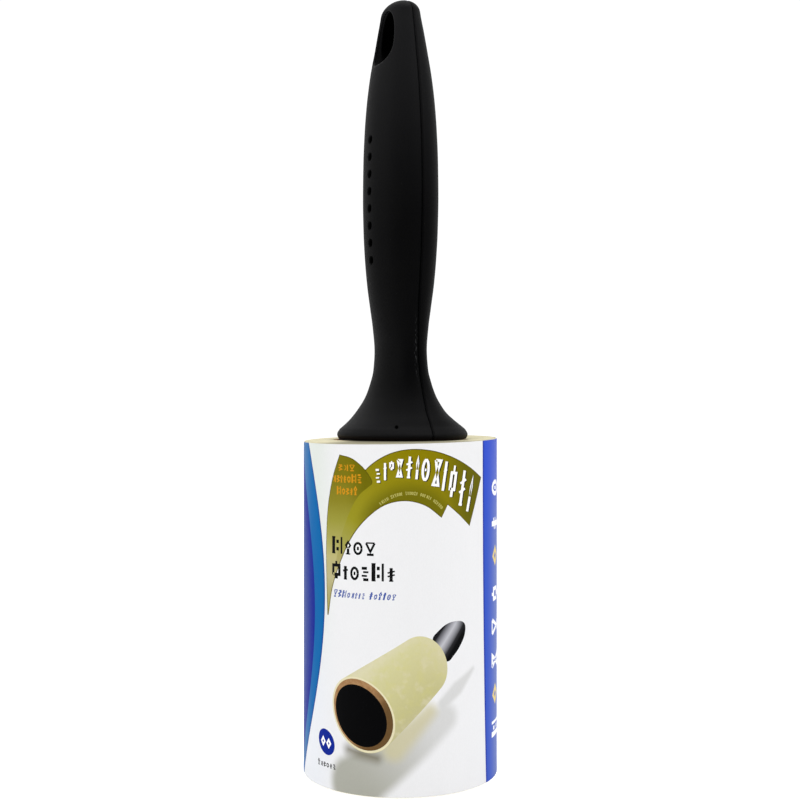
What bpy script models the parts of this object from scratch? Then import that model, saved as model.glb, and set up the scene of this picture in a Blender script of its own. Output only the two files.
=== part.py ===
"""Lint roller: a two-shell grip with a flared skirt, a spindle clamped between the shells, a ribbed
roller hub that spins on the spindle, and a slide-on refill (card core, wound tape, printed wrap).

Frame: +Z up along the roller's axis, origin at the centre of the refill's free end, which the
object stands on. The grip's dimpled face looks along -Y, and its parting plane is y = 0.
Lengths are in millimetres and angles in degrees; add_piece and add_frame convert to metres.
In names, R is a radius, RI and RO are inner and outer radii, and a Z pair is (bottom, top).
"""

import math

import bmesh
import bpy
from mathutils import Matrix

MM = 0.001
SHARP_ANGLE = 32.0  # edges that bend more than this are shaded sharp

# ---- refill ------------------------------------------------------------------
ROLL_LENGTH = 101.6  # four-inch tape
CORE_RI, CORE_RO = 19.3, 20.6
TAPE_RI, TAPE_RO = 20.9, 28.7
SHEET_RI, SHEET_RO = 29.0, 29.25  # outermost adhesive sheet
SHEET_START, SHEET_SPAN = 160.0, 348.0  # its leading and trailing edges don't meet
SHEET_STEPS = 70
WRAP_RI, WRAP_RO = 29.55, 29.8
WRAP_Z = (0.5, 101.3)
REFILL_STEPS = 72

# ---- roller hub --------------------------------------------------------------
HUB_STEPS = 48
BARREL_RI, BARREL_RO = 15.3, 16.8
BARREL_Z = (2.4, 102.4)
STOP_R, STOP_Z = 19.7, 101.9  # stop flange that the core butts against, and its underside
LOWER_WEB, UPPER_WEB = (7.0, 10.2), (93.5, 97.5)
LOWER_SEAT_R, UPPER_SEAT_R = 7.8, 9.3

RIB_COUNT, RIB_HALF = 8, 0.8
RIB_ROOT_R, RIB_FOOT_R, RIB_R = 16.2, 17.3, 18.9
RIB_Z = (4.0, 102.2)
RIB_RAMP_TOP = 9.0  # the rib slopes out from its foot to its full radius here

FINGER_COUNT, FINGER_PHASE = 4, 22.5
FINGER_Z, FINGER_HALF = (12.3, 47.1), 3.5
FINGER_AXIS_R, FINGER_AXIS_Z = 16.0, 46.5
BUMP_R, BUMP_Z, BUMP_END_Z = 18.6, (16.3, 18.6), 22.5  # bump's flat crest, then its upper foot
WINDOW_R = (13.5, 18.0)  # radial reach of the cutter for the window round each finger
WINDOW_GAP_BELOW, WINDOW_GAP_ABOVE, WINDOW_GAP_SIDE = 0.9, 0.5, 0.6

# Profiles of turned parts: radius, height.
UPPER_BEARING = ((6.3, 93.2), (9.0, 93.2), (9.0, 97.8), (10.6, 97.8), (10.6, 98.9), (6.3, 98.9))
LOWER_BEARING = ((4.5, 6.3), (7.5, 6.3), (7.5, 10.5), (9.0, 10.5), (9.0, 11.1), (4.5, 11.1))
END_CAP = (
    (0, 0.6), (17.6, 0.6), (18.3, 1.2), (18.3, 2.1), (15.0, 2.1),
    (15.0, 5.2), (13.6, 5.2), (13.6, 2.1), (0, 2.1),
)

# ---- spindle -----------------------------------------------------------------
SPINDLE_STEPS = 32  # also used for the bearings and the spindle's pocket
NOSE_R, NOSE_Z = 4.2, 3.3
NOSE_TIP_R, NOSE_CHAMFER_HEIGHT = 3.6, 0.6
RING_GROOVE_R, RING_GROOVE_Z = 3.3, (4.7, 5.9)
SHAFT_R, SHOULDER_Z = 6.0, 11.4
COLLAR_R, COLLAR_Z = 9.0, (105.6, 107.4)
SPIGOT_R, SPIGOT_TOP = 5.2, 113.0
TANG_X, TANG_Y, TANG_Z = 4.5, 2.8, (111.0, 138.0)  # half sizes across X and Y
RETAINER_RI, RETAINER_RO, RETAINER_Z = 3.6, 6.3, (4.95, 5.65)
RETAINER_START, RETAINER_SPAN, RETAINER_STEPS = 35.0, 290.0, 22

# Pocket for the spindle in the grip.
SHAFT_CLEARANCE, SHAFT_POCKET_Z = 0.5, (101.0, 106.0)
SPIGOT_CLEARANCE, SPIGOT_POCKET_Z = 0.4, (107.2, 110.8)
TANG_CLEARANCE, TANG_POCKET_Z = 0.35, (133.2, 137.0)

# ---- grip --------------------------------------------------------------------
PARTING_GAP = 0.15  # each shell stops this far from the parting plane
GROOVE_DEPTH, GROOVE_HALF = 0.45, 0.62  # V-groove seen along the parting line
GROOVE_MID = 0.45  # place of the extra point inside the groove, as a share of its half width
QUARTER_STEPS = 8  # steps round a quarter of the grip, beyond the groove
WALL = 2.0
# Stations up the grip: height, half width across X, half thickness across Y.
GRIP = (
    (102.7, 19.15, 19.15),
    (103.0, 19.75, 19.75),
    (103.6, 20.0, 20.0),
    (104.8, 19.7, 19.5),
    (106.0, 19.0, 17.9),
    (107.6, 18.3, 15.6),
    (109.5, 17.5, 13.4),
    (111.5, 16.8, 11.6),
    (115.0, 15.4, 9.3),
    (118.8, 14.1, 7.85),
    (123.0, 12.9, 6.85),
    (129.0, 12.15, 6.6),
    (136.0, 12.1, 7.4),
    (142.0, 12.4, 8.4),
    (149.0, 13.15, 9.4),
    (157.0, 13.9, 10.1),
    (166.0, 14.45, 10.55),
    (176.0, 14.75, 10.7),
    (187.0, 14.55, 10.6),
    (197.0, 13.95, 10.25),
    (205.0, 13.2, 9.7),
    (212.5, 12.2, 8.85),
    (219.5, 11.0, 7.7),
    (226.5, 9.75, 6.45),
    (231.4, 8.75, 5.55),
    (233.4, 8.25, 5.15),
    (234.7, 7.4, 4.6),
    (235.8, 5.9, 3.75),
    (236.5, 4.2, 2.7),
    (236.85, 2.6, 1.7),
)
GRIP_TIP = 237.0
# Hollow bays inside the grip, bottom and top; the material left between two bays is a rib.
BAYS = ((105.3, 107.7), (110.2, 133.8), (136.4, 164.0), (169.0, 195.0), (200.0, 213.0))
BAY_RING_PITCH, BAY_SIDES = 7.5, 24
HALF_CUTTER_REACH, HALF_CUTTER_Z = 30, (95, 245)  # boxes that cut the grip down to one shell

PIN_HEIGHTS = (166.5, 197.5)
PIN_R, PIN_Y = 1.3, (-4.0, 3.2)
SOCKET_R, SOCKET_Y = 1.65, (-1.0, 4.0)
PIN_SIDES = 16

# The hanging hole is egg-shaped: HOLE_EGG is how much its half-width grows at its lower end.
HOLE_Z, HOLE_HALF_X, HOLE_HALF_Z, HOLE_EGG = 224.9, 6.4, 8.2, 1.25
HOLE_POWER, HOLE_SIDES = 0.8, 28  # a power below 1 squares the outline a little
HOLE_CUTTER_HALF = 13

DIMPLE_FIRST, DIMPLE_PITCH, DIMPLE_COUNT = 156.6, 5.26, 8
DIMPLE_R, DIMPLE_DEPTH = 1.3, 0.8
DIMPLE_SEGMENTS, DIMPLE_RINGS = 14, 8


# ---- materials ---------------------------------------------------------------
def make_material(name, colour, roughness, metallic=0.0):
    mat = bpy.data.materials.new(name)
    mat.use_nodes = True
    shader = mat.node_tree.nodes["Principled BSDF"].inputs
    shader["Base Color"].default_value = (*colour, 1.0)
    shader["Roughness"].default_value = roughness
    shader["Metallic"].default_value = metallic
    mat.diffuse_color = (*colour, 1.0)
    return mat


def make_materials():
    return {
        "grip": make_material("grip_black", colour=(0.012, 0.012, 0.014), roughness=0.48),
        "spindle": make_material("spindle_grey", colour=(0.06, 0.06, 0.065), roughness=0.42),
        "hub": make_material("hub_black", colour=(0.015, 0.015, 0.017), roughness=0.4),
        "bearing": make_material("bearing_natural", colour=(0.72, 0.7, 0.64), roughness=0.35),
        "steel": make_material(
            "spring_steel", colour=(0.45, 0.45, 0.47), roughness=0.3, metallic=1.0
        ),
        "card": make_material("card_brown", colour=(0.42, 0.25, 0.13), roughness=0.85),
        "tape": make_material("tape_cream", colour=(0.82, 0.77, 0.52), roughness=0.55),
        "wrap": make_material("wrap_white", colour=(0.86, 0.86, 0.88), roughness=0.45),
    }


# ---- objects -----------------------------------------------------------------
def add_frame(name, location=(0, 0, 0), turn=0.0, parent=None):
    """Adds an empty that carries moving parts."""
    obj = bpy.data.objects.new(name, None)
    obj.empty_display_size = 0.01
    obj.location = [v * MM for v in location]
    obj.rotation_euler = (0, 0, math.radians(turn))
    obj.parent = parent
    bpy.context.scene.collection.objects.link(obj)
    return obj


def add_piece(name, bm, material=None, parent=None):
    """Turns a bmesh in millimetres into a named object in metres."""
    bmesh.ops.remove_doubles(bm, verts=bm.verts, dist=1e-4)
    bmesh.ops.recalc_face_normals(bm, faces=bm.faces)
    bmesh.ops.scale(bm, vec=(MM, MM, MM), verts=bm.verts)
    mesh = bpy.data.meshes.new(name)
    bm.to_mesh(mesh)
    bm.free()
    mesh.shade_smooth()
    mesh.set_sharp_from_angle(angle=math.radians(SHARP_ANGLE))
    if material:
        mesh.materials.append(material)
    obj = bpy.data.objects.new(name, mesh)
    obj.parent = parent
    bpy.context.scene.collection.objects.link(obj)
    return obj


def add_helper(name, bm):
    """Adds an unrendered solid for booleans to cut with or to join on."""
    obj = add_piece(name, bm)
    obj.hide_render = True
    obj.display_type = "WIRE"
    return obj


def boolean(obj, operation, *helpers):
    for helper in helpers:
        mod = obj.modifiers.new(helper.name, "BOOLEAN")
        mod.object = helper
        mod.operation = operation
        mod.solver = "EXACT"


# ---- solids ------------------------------------------------------------------
def turn_z(degrees):
    return Matrix.Rotation(math.radians(degrees), 3, "Z")


def lathe(profile, steps, closed=True):
    """Spins (radius, height) points round Z. An open profile starts and ends on the axis."""
    bm = bmesh.new()
    verts = [bm.verts.new((r, 0, z)) for r, z in profile]
    edges = [bm.edges.new(pair) for pair in zip(verts, verts[1:])]
    if closed:
        edges.append(bm.edges.new((verts[-1], verts[0])))
    bmesh.ops.spin(
        bm,
        geom=verts + edges,
        cent=(0, 0, 0),
        axis=(0, 0, 1),
        angle=math.tau,
        steps=steps,
        use_merge=True,
    )
    return bm


def rectangle(r0, r1, z0, z1):
    return ((r0, z0), (r1, z0), (r1, z1), (r0, z1))


def ring_sector(profile, start, span, steps):
    """A ring with a gap in it: a profile spun through part of a turn, closed at both ends."""
    bm = bmesh.new()
    face = bm.faces.new([bm.verts.new((r, 0, z)) for r, z in profile])
    bmesh.ops.rotate(bm, verts=bm.verts, cent=(0, 0, 0), matrix=turn_z(start))
    bmesh.ops.spin(
        bm,
        geom=[face, *face.edges, *face.verts],
        cent=(0, 0, 0),
        axis=(0, 0, 1),
        angle=math.radians(span),
        steps=steps,
    )
    return bm


def prism(bm, outline, half, angle=0.0):
    """Extrudes an (x, z) outline from y = -half to half, then turns it to an angle round Z."""
    face = bm.faces.new([bm.verts.new((x, -half, z)) for x, z in outline])
    made = bmesh.ops.extrude_face_region(bm, geom=[face])["geom"]
    far = [v for v in made if isinstance(v, bmesh.types.BMVert)]
    bmesh.ops.translate(bm, verts=far, vec=(0, 2 * half, 0))
    bmesh.ops.rotate(bm, verts=list(face.verts) + far, cent=(0, 0, 0), matrix=turn_z(angle))


def box(bm, x, y, z):
    """A box from its (low, high) pairs."""
    size = [high - low for low, high in (x, y, z)]
    middle = [(high + low) / 2 for low, high in (x, y, z)]
    place = Matrix.Translation(middle) @ Matrix.Diagonal((*size, 1.0))
    bmesh.ops.create_cube(bm, size=1.0, matrix=place)


def ellipse(half_x, half_y, z, sides):
    angles = [math.tau * j / sides for j in range(sides)]
    return [(half_x * math.cos(t), half_y * math.sin(t), z) for t in angles]


def loft(bm, rings, tip=None):
    """Bridges rings of points; the top closes flat, or to a point at height tip."""
    loops = [[bm.verts.new(p) for p in ring] for ring in rings]
    for low, high in zip(loops, loops[1:]):
        n = len(low)
        for k in range(n):
            bm.faces.new((low[k], low[(k + 1) % n], high[(k + 1) % n], high[k]))
    bm.faces.new(list(reversed(loops[0])))
    top = loops[-1]
    if tip is None:
        bm.faces.new(top)
    else:
        apex = bm.verts.new((0, 0, tip))
        for k in range(len(top)):
            bm.faces.new((top[k], top[(k + 1) % len(top)], apex))


# ---- grip surface ------------------------------------------------------------
def monotone_slopes(xs, ys):
    """Monotone cubic slopes, so that the curve through the stations never overshoots one."""
    steps = [b - a for a, b in zip(xs, xs[1:])]
    grades = [(b - a) / step for a, b, step in zip(ys, ys[1:], steps)]
    slopes = [grades[0]]
    for i in range(1, len(xs) - 1):
        if grades[i - 1] * grades[i] <= 0:
            slopes.append(0.0)
        else:
            before = 2 * steps[i] + steps[i - 1]
            after = steps[i] + 2 * steps[i - 1]
            slopes.append((before + after) / (before / grades[i - 1] + after / grades[i]))
    return [*slopes, grades[-1]]


HEIGHTS, HALF_WIDTHS, HALF_THICKNESSES = zip(*GRIP)
GRIP_CURVES = [
    (values, monotone_slopes(HEIGHTS, values)) for values in (HALF_WIDTHS, HALF_THICKNESSES)
]


def grip_at(z):
    """Half width and half thickness of the grip at a height."""
    i = max(0, min(len(HEIGHTS) - 2, sum(height <= z for height in HEIGHTS) - 1))
    step = HEIGHTS[i + 1] - HEIGHTS[i]
    t = min(1.0, max(0.0, (z - HEIGHTS[i]) / step))
    return [
        (2 * t**3 - 3 * t * t + 1) * values[i]
        + (t**3 - 2 * t * t + t) * step * slopes[i]
        + (3 * t * t - 2 * t**3) * values[i + 1]
        + (t**3 - t * t) * step * slopes[i + 1]
        for values, slopes in GRIP_CURVES
    ]


def grip_ring(z):
    """One cross-section: an ellipse whose two ends across X carry the parting groove."""
    half_x, half_y = grip_at(z)
    lip = min(GROOVE_HALF, 0.3 * half_y)  # the groove narrows where the grip is thin
    depth = GROOVE_DEPTH * min(1.0, half_x / 3)  # and gets shallower near the tip
    first = math.asin(lip / half_y)
    angles = [0.0, math.asin(GROOVE_MID * lip / half_y)]
    angles += [
        first + (math.pi / 2 - first) * k / QUARTER_STEPS for k in range(QUARTER_STEPS + 1)
    ]
    quarter = []
    for t in angles:
        y = half_y * math.sin(t)
        quarter.append((half_x * math.cos(t) - depth * max(0.0, 1 - y / lip), y))
    upper = quarter[:-1] + [(-x, y) for x, y in reversed(quarter)]
    lower = [(x, -y) for x, y in reversed(upper) if y > 1e-9]
    return [(x, y, z) for x, y in upper + lower]


def grip_body():
    bm = bmesh.new()
    loft(bm, [grip_ring(z) for z in HEIGHTS], GRIP_TIP)
    return bm


# ---- grip helpers ------------------------------------------------------------
def add_bays():
    bm = bmesh.new()
    for z0, z1 in BAYS:
        count = max(1, round((z1 - z0) / BAY_RING_PITCH))
        rings = []
        for k in range(count + 1):
            z = z0 + (z1 - z0) * k / count
            half_x, half_y = grip_at(z)
            rings.append(ellipse(half_x - WALL, half_y - WALL, z, BAY_SIDES))
        loft(bm, rings)
    return add_helper("cut_bays", bm)


def add_spindle_pocket():
    bm = bmesh.new()
    for radius, heights in (
        (SHAFT_R + SHAFT_CLEARANCE, SHAFT_POCKET_Z),
        (SPIGOT_R + SPIGOT_CLEARANCE, SPIGOT_POCKET_Z),
    ):
        loft(bm, [ellipse(radius, radius, z, SPINDLE_STEPS) for z in heights])
    half_x = TANG_X + TANG_CLEARANCE
    half_y = TANG_Y + TANG_CLEARANCE
    box(bm, (-half_x, half_x), (-half_y, half_y), TANG_POCKET_Z)
    return add_helper("cut_spindle_pocket", bm)


def add_hang_hole():
    rim = []
    for j in range(HOLE_SIDES):
        c = math.cos(math.tau * j / HOLE_SIDES)
        s = math.sin(math.tau * j / HOLE_SIDES)
        across = math.copysign(abs(c) ** HOLE_POWER, c)
        up = math.copysign(abs(s) ** HOLE_POWER, s)
        rim.append(((HOLE_HALF_X - HOLE_EGG * up) * across, HOLE_Z + HOLE_HALF_Z * up))
    bm = bmesh.new()
    prism(bm, rim, HOLE_CUTTER_HALF)
    return add_helper("cut_hang_hole", bm)


def add_dimples():
    """A column of balls, each sunk into the grip's -Y face."""
    bm = bmesh.new()
    ball_r = (DIMPLE_R**2 + DIMPLE_DEPTH**2) / (2 * DIMPLE_DEPTH)
    for k in range(DIMPLE_COUNT):
        z = DIMPLE_FIRST + k * DIMPLE_PITCH
        centre = (0, -(grip_at(z)[1] + ball_r - DIMPLE_DEPTH), z)
        bmesh.ops.create_uvsphere(
            bm,
            u_segments=DIMPLE_SEGMENTS,
            v_segments=DIMPLE_RINGS,
            radius=ball_r,
            matrix=Matrix.Translation(centre) @ Matrix.Rotation(math.pi / 2, 4, "X"),
        )
    return add_helper("cut_dimples", bm)


def add_half(name, y):
    bm = bmesh.new()
    box(bm, (-HALF_CUTTER_REACH, HALF_CUTTER_REACH), y, HALF_CUTTER_Z)
    return add_helper(name, bm)


def add_pins(name, radius, y):
    """A cylinder along Y at each pin height."""
    bm = bmesh.new()
    y0, y1 = y
    for z in PIN_HEIGHTS:
        centre = Matrix.Translation((0, (y0 + y1) / 2, z))
        bmesh.ops.create_cone(
            bm,
            cap_ends=True,
            segments=PIN_SIDES,
            radius1=radius,
            radius2=radius,
            depth=y1 - y0,
            matrix=centre @ Matrix.Rotation(math.pi / 2, 4, "X"),
        )
    return add_helper(name, bm)


# ---- pieces ------------------------------------------------------------------
def build_grip(parent):
    hollows = (add_bays(), add_spindle_pocket(), add_hang_hole())
    dimples = add_dimples()
    rear_half = add_half("cut_rear_half", (-PARTING_GAP, HALF_CUTTER_REACH))
    front_half = add_half("cut_front_half", (-HALF_CUTTER_REACH, PARTING_GAP))
    pins = add_pins("locating_pins", PIN_R, PIN_Y)
    sockets = add_pins("cut_sockets", SOCKET_R, SOCKET_Y)

    front = add_piece("handle_front_shell", grip_body(), MATERIALS["grip"], parent)
    boolean(front, "DIFFERENCE", rear_half, *hollows, dimples)
    boolean(front, "UNION", pins)

    rear = add_piece("handle_rear_shell", grip_body(), MATERIALS["grip"], parent)
    boolean(rear, "DIFFERENCE", front_half, *hollows, sockets)


def build_spindle(parent):
    profile = (
        (0, NOSE_Z),
        (NOSE_TIP_R, NOSE_Z),
        (NOSE_R, NOSE_Z + NOSE_CHAMFER_HEIGHT),
        (NOSE_R, RING_GROOVE_Z[0]),
        (RING_GROOVE_R, RING_GROOVE_Z[0]),
        (RING_GROOVE_R, RING_GROOVE_Z[1]),
        (NOSE_R, RING_GROOVE_Z[1]),
        (NOSE_R, SHOULDER_Z),
        (SHAFT_R, SHOULDER_Z),
        (SHAFT_R, COLLAR_Z[0]),
        (COLLAR_R, COLLAR_Z[0]),
        (COLLAR_R, COLLAR_Z[1]),
        (SPIGOT_R, COLLAR_Z[1]),
        (SPIGOT_R, SPIGOT_TOP),
        (0, SPIGOT_TOP),
    )
    turned = lathe(profile, SPINDLE_STEPS, closed=False)
    spindle = add_piece("spindle", turned, MATERIALS["spindle"], parent)
    bm = bmesh.new()
    box(bm, (-TANG_X, TANG_X), (-TANG_Y, TANG_Y), TANG_Z)
    boolean(spindle, "UNION", add_helper("spindle_tang", bm))


def build_retaining_ring(parent):
    section = rectangle(RETAINER_RI, RETAINER_RO, *RETAINER_Z)
    bm = ring_sector(section, RETAINER_START, RETAINER_SPAN, RETAINER_STEPS)
    add_piece("spindle_retaining_ring", bm, MATERIALS["steel"], parent)


def finger_angle(k):
    return FINGER_PHASE + 360.0 / FINGER_COUNT * k


def add_ribs():
    outline = (
        (RIB_ROOT_R, RIB_Z[0]),
        (RIB_FOOT_R, RIB_Z[0]),
        (RIB_R, RIB_RAMP_TOP),
        (RIB_R, RIB_Z[1]),
        (RIB_ROOT_R, RIB_Z[1]),
    )
    bm = bmesh.new()
    for k in range(RIB_COUNT):
        prism(bm, outline, RIB_HALF, 360.0 * k / RIB_COUNT)
    return add_helper("hub_ribs", bm)


def add_finger_windows():
    outline = rectangle(*WINDOW_R, FINGER_Z[0] - WINDOW_GAP_BELOW, FINGER_Z[1] + WINDOW_GAP_ABOVE)
    bm = bmesh.new()
    for k in range(FINGER_COUNT):
        prism(bm, outline, FINGER_HALF + WINDOW_GAP_SIDE, finger_angle(k))
    return add_helper("cut_finger_windows", bm)


def build_barrel(parent):
    """A tube with a stop flange and two inner webs that seat the bearings."""
    profile = (
        (BARREL_RO, BARREL_Z[0]),
        (BARREL_RO, STOP_Z),
        (STOP_R, STOP_Z),
        (STOP_R, BARREL_Z[1]),
        (BARREL_RI, BARREL_Z[1]),
        (BARREL_RI, UPPER_WEB[1]),
        (UPPER_SEAT_R, UPPER_WEB[1]),
        (UPPER_SEAT_R, UPPER_WEB[0]),
        (BARREL_RI, UPPER_WEB[0]),
        (BARREL_RI, LOWER_WEB[1]),
        (LOWER_SEAT_R, LOWER_WEB[1]),
        (LOWER_SEAT_R, LOWER_WEB[0]),
        (BARREL_RI, LOWER_WEB[0]),
        (BARREL_RI, BARREL_Z[0]),
    )
    barrel = add_piece("hub_barrel", lathe(profile, HUB_STEPS), MATERIALS["hub"], parent)
    boolean(barrel, "UNION", add_ribs())
    boolean(barrel, "DIFFERENCE", add_finger_windows())


def build_fingers(parent):
    """Spring tongues that press on the inside of the core. Each turns about its root."""
    outline = (
        (BARREL_RI, FINGER_Z[0]),
        (BARREL_RO, FINGER_Z[0]),
        (BUMP_R, BUMP_Z[0]),
        (BUMP_R, BUMP_Z[1]),
        (BARREL_RO, BUMP_END_Z),
        (BARREL_RO, FINGER_Z[1]),
        (BARREL_RI, FINGER_Z[1]),
    )
    from_root = [(r - FINGER_AXIS_R, z - FINGER_AXIS_Z) for r, z in outline]
    for k in range(FINGER_COUNT):
        angle = finger_angle(k)
        x = FINGER_AXIS_R * math.cos(math.radians(angle))
        y = FINGER_AXIS_R * math.sin(math.radians(angle))
        root = add_frame(f"finger_{k + 1}_root", (x, y, FINGER_AXIS_Z), angle, parent)
        bm = bmesh.new()
        prism(bm, from_root, FINGER_HALF)
        add_piece(f"grip_finger_{k + 1}", bm, MATERIALS["hub"], root)


def build_bearings(parent):
    for name, profile in (("upper_bearing", UPPER_BEARING), ("lower_bearing", LOWER_BEARING)):
        add_piece(name, lathe(profile, SPINDLE_STEPS), MATERIALS["bearing"], parent)


def build_end_cap(parent):
    bm = lathe(END_CAP, HUB_STEPS, closed=False)
    add_piece("hub_end_cap", bm, MATERIALS["hub"], parent)


def build_refill():
    for name, material, section in (
        ("cardboard_core", "card", rectangle(CORE_RI, CORE_RO, 0, ROLL_LENGTH)),
        ("tape_roll", "tape", rectangle(TAPE_RI, TAPE_RO, 0, ROLL_LENGTH)),
        ("label_wrap", "wrap", rectangle(WRAP_RI, WRAP_RO, *WRAP_Z)),
    ):
        add_piece(name, lathe(section, REFILL_STEPS), MATERIALS[material])
    section = rectangle(SHEET_RI, SHEET_RO, 0, ROLL_LENGTH)
    sheet = ring_sector(section, SHEET_START, SHEET_SPAN, SHEET_STEPS)
    add_piece("outer_tape_sheet", sheet, MATERIALS["tape"])


# ---- assembly ----------------------------------------------------------------
for old in list(bpy.data.objects):
    bpy.data.objects.remove(old, do_unlink=True)

MATERIALS = make_materials()
roller_frame = add_frame("roller_frame")  # slides along Z out of the refill
handle_frame = add_frame("handle_frame", parent=roller_frame)  # turns round Z on the hub

build_grip(handle_frame)
build_spindle(handle_frame)
build_retaining_ring(handle_frame)
build_barrel(roller_frame)
build_fingers(roller_frame)
build_bearings(roller_frame)
build_end_cap(roller_frame)
build_refill()
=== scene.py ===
"""Looks for a lint roller, built round its CAD frame.

The roller stands upright with its axis on Z: the wound refill starts at z = 0 and the black
grip rises above it. The grip is two shells parted near y = 0, the front one on the -Y side.
The refill's printed wrap faces the camera. Lengths are in millimetres until a mesh is made.
"""

import math
import random
import bmesh
import bpy
import numpy as np
from mathutils import Matrix, Vector
from mathutils.geometry import delaunay_2d_cdt


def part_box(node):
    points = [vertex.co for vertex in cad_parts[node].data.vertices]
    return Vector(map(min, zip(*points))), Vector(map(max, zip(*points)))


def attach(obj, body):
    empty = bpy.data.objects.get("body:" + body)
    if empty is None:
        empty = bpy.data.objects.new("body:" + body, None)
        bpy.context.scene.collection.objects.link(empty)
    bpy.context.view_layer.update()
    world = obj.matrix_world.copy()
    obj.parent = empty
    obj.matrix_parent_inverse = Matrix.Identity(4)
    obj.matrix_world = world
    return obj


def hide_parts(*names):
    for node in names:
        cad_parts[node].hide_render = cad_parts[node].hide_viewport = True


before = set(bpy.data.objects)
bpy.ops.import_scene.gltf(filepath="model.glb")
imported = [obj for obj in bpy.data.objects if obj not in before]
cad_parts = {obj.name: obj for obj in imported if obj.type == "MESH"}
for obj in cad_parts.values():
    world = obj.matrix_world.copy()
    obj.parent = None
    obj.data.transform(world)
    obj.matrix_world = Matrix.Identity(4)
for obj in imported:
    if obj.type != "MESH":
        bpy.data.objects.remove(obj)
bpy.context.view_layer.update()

MM = 0.001
rng = random.Random(11)


def span(node):
    """A CAD node's outer radius, lowest and highest z, in millimetres."""
    low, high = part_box(node)
    return high.x / MM, low.z / MM, high.z / MM


WRAP_R, WRAP_Z0, WRAP_Z1 = span("label_wrap")
WRAP_Z0, WRAP_Z1 = WRAP_Z0 - 0.38, WRAP_Z1 + 0.12
ROLL_Z1 = span("tape_roll")[2]
CORE_R = span("cardboard_core")[0]
VIEW_AZ = math.radians(63.0)  # the wrap's printed front faces this way
FRONT = np.array([math.sin(VIEW_AZ), -math.cos(VIEW_AZ), 0.0])  # towards the viewer
RIGHT = np.array([math.cos(VIEW_AZ), math.sin(VIEW_AZ), 0.0])  # to the viewer's right


# ============================================================== node helpers
def rgb(*colour):
    """8-bit display colour to linear."""
    shares = [v / 255 for v in colour]
    return (*(v / 12.92 if v <= 0.04045 else ((v + 0.055) / 1.055) ** 2.4 for v in shares), 1.0)


def arithmetic(operation, swapped=False):
    """A method that adds a maths node over a value and another."""

    def method(self, other):
        pair = (other, self) if swapped else (self, other)
        return self.nodes.math(operation, *pair)

    return method


class Value:
    """The output of a node. Arithmetic and the methods below add further nodes."""

    def __init__(self, nodes, socket):
        self.nodes, self.socket = nodes, socket

    __add__ = arithmetic("ADD")
    __sub__ = arithmetic("SUBTRACT")
    __rsub__ = arithmetic("SUBTRACT", swapped=True)
    __mul__ = arithmetic("MULTIPLY")
    __truediv__ = arithmetic("DIVIDE")
    __pow__ = arithmetic("POWER")
    maximum = arithmetic("MAXIMUM")
    arctan2 = arithmetic("ARCTAN2")

    def __abs__(self):
        return self.nodes.math("ABSOLUTE", self)

    def fract(self):
        return self.nodes.math("FRACT", self)

    def mul_add(self, factor, plus):
        return self.nodes.math("MULTIPLY_ADD", self, factor, plus)

    def ease(self, start, end, to_start, to_end):
        """Smooth step from to_start, where the value is start, to to_end, where it is end."""
        inputs = dict(enumerate((self, start, end, to_start, to_end)))
        return self.nodes.new("ShaderNodeMapRange", inputs, interpolation_type="SMOOTHSTEP")

    def rise(self, start, end):
        """Smooth step from 0 at start to 1 at end."""
        return self.ease(start, end, 0.0, 1.0)

    def fall(self, start, end):
        """Smooth step from 1 at start to 0 at end."""
        return self.ease(start, end, 1.0, 0.0)

    def vector(self, operation, other=None):
        return self.nodes.vector(operation, self, other)

    def dot(self, axis):
        return self.vector("DOT_PRODUCT", tuple(axis))

    def length(self):
        return self.vector("LENGTH")

    def stretched(self, *factors):
        return self.vector("MULTIPLY", factors)

    def xyz(self):
        node = self.nodes.new("ShaderNodeSeparateXYZ", {0: self}).socket.node
        return [Value(self.nodes, socket) for socket in node.outputs]

    def noise(self, scale, detail=2.0, rough=0.5):
        inputs = {"Vector": self, "Scale": scale, "Detail": detail, "Roughness": rough}
        return self.nodes.new("ShaderNodeTexNoise", inputs, out="Fac")


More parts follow.
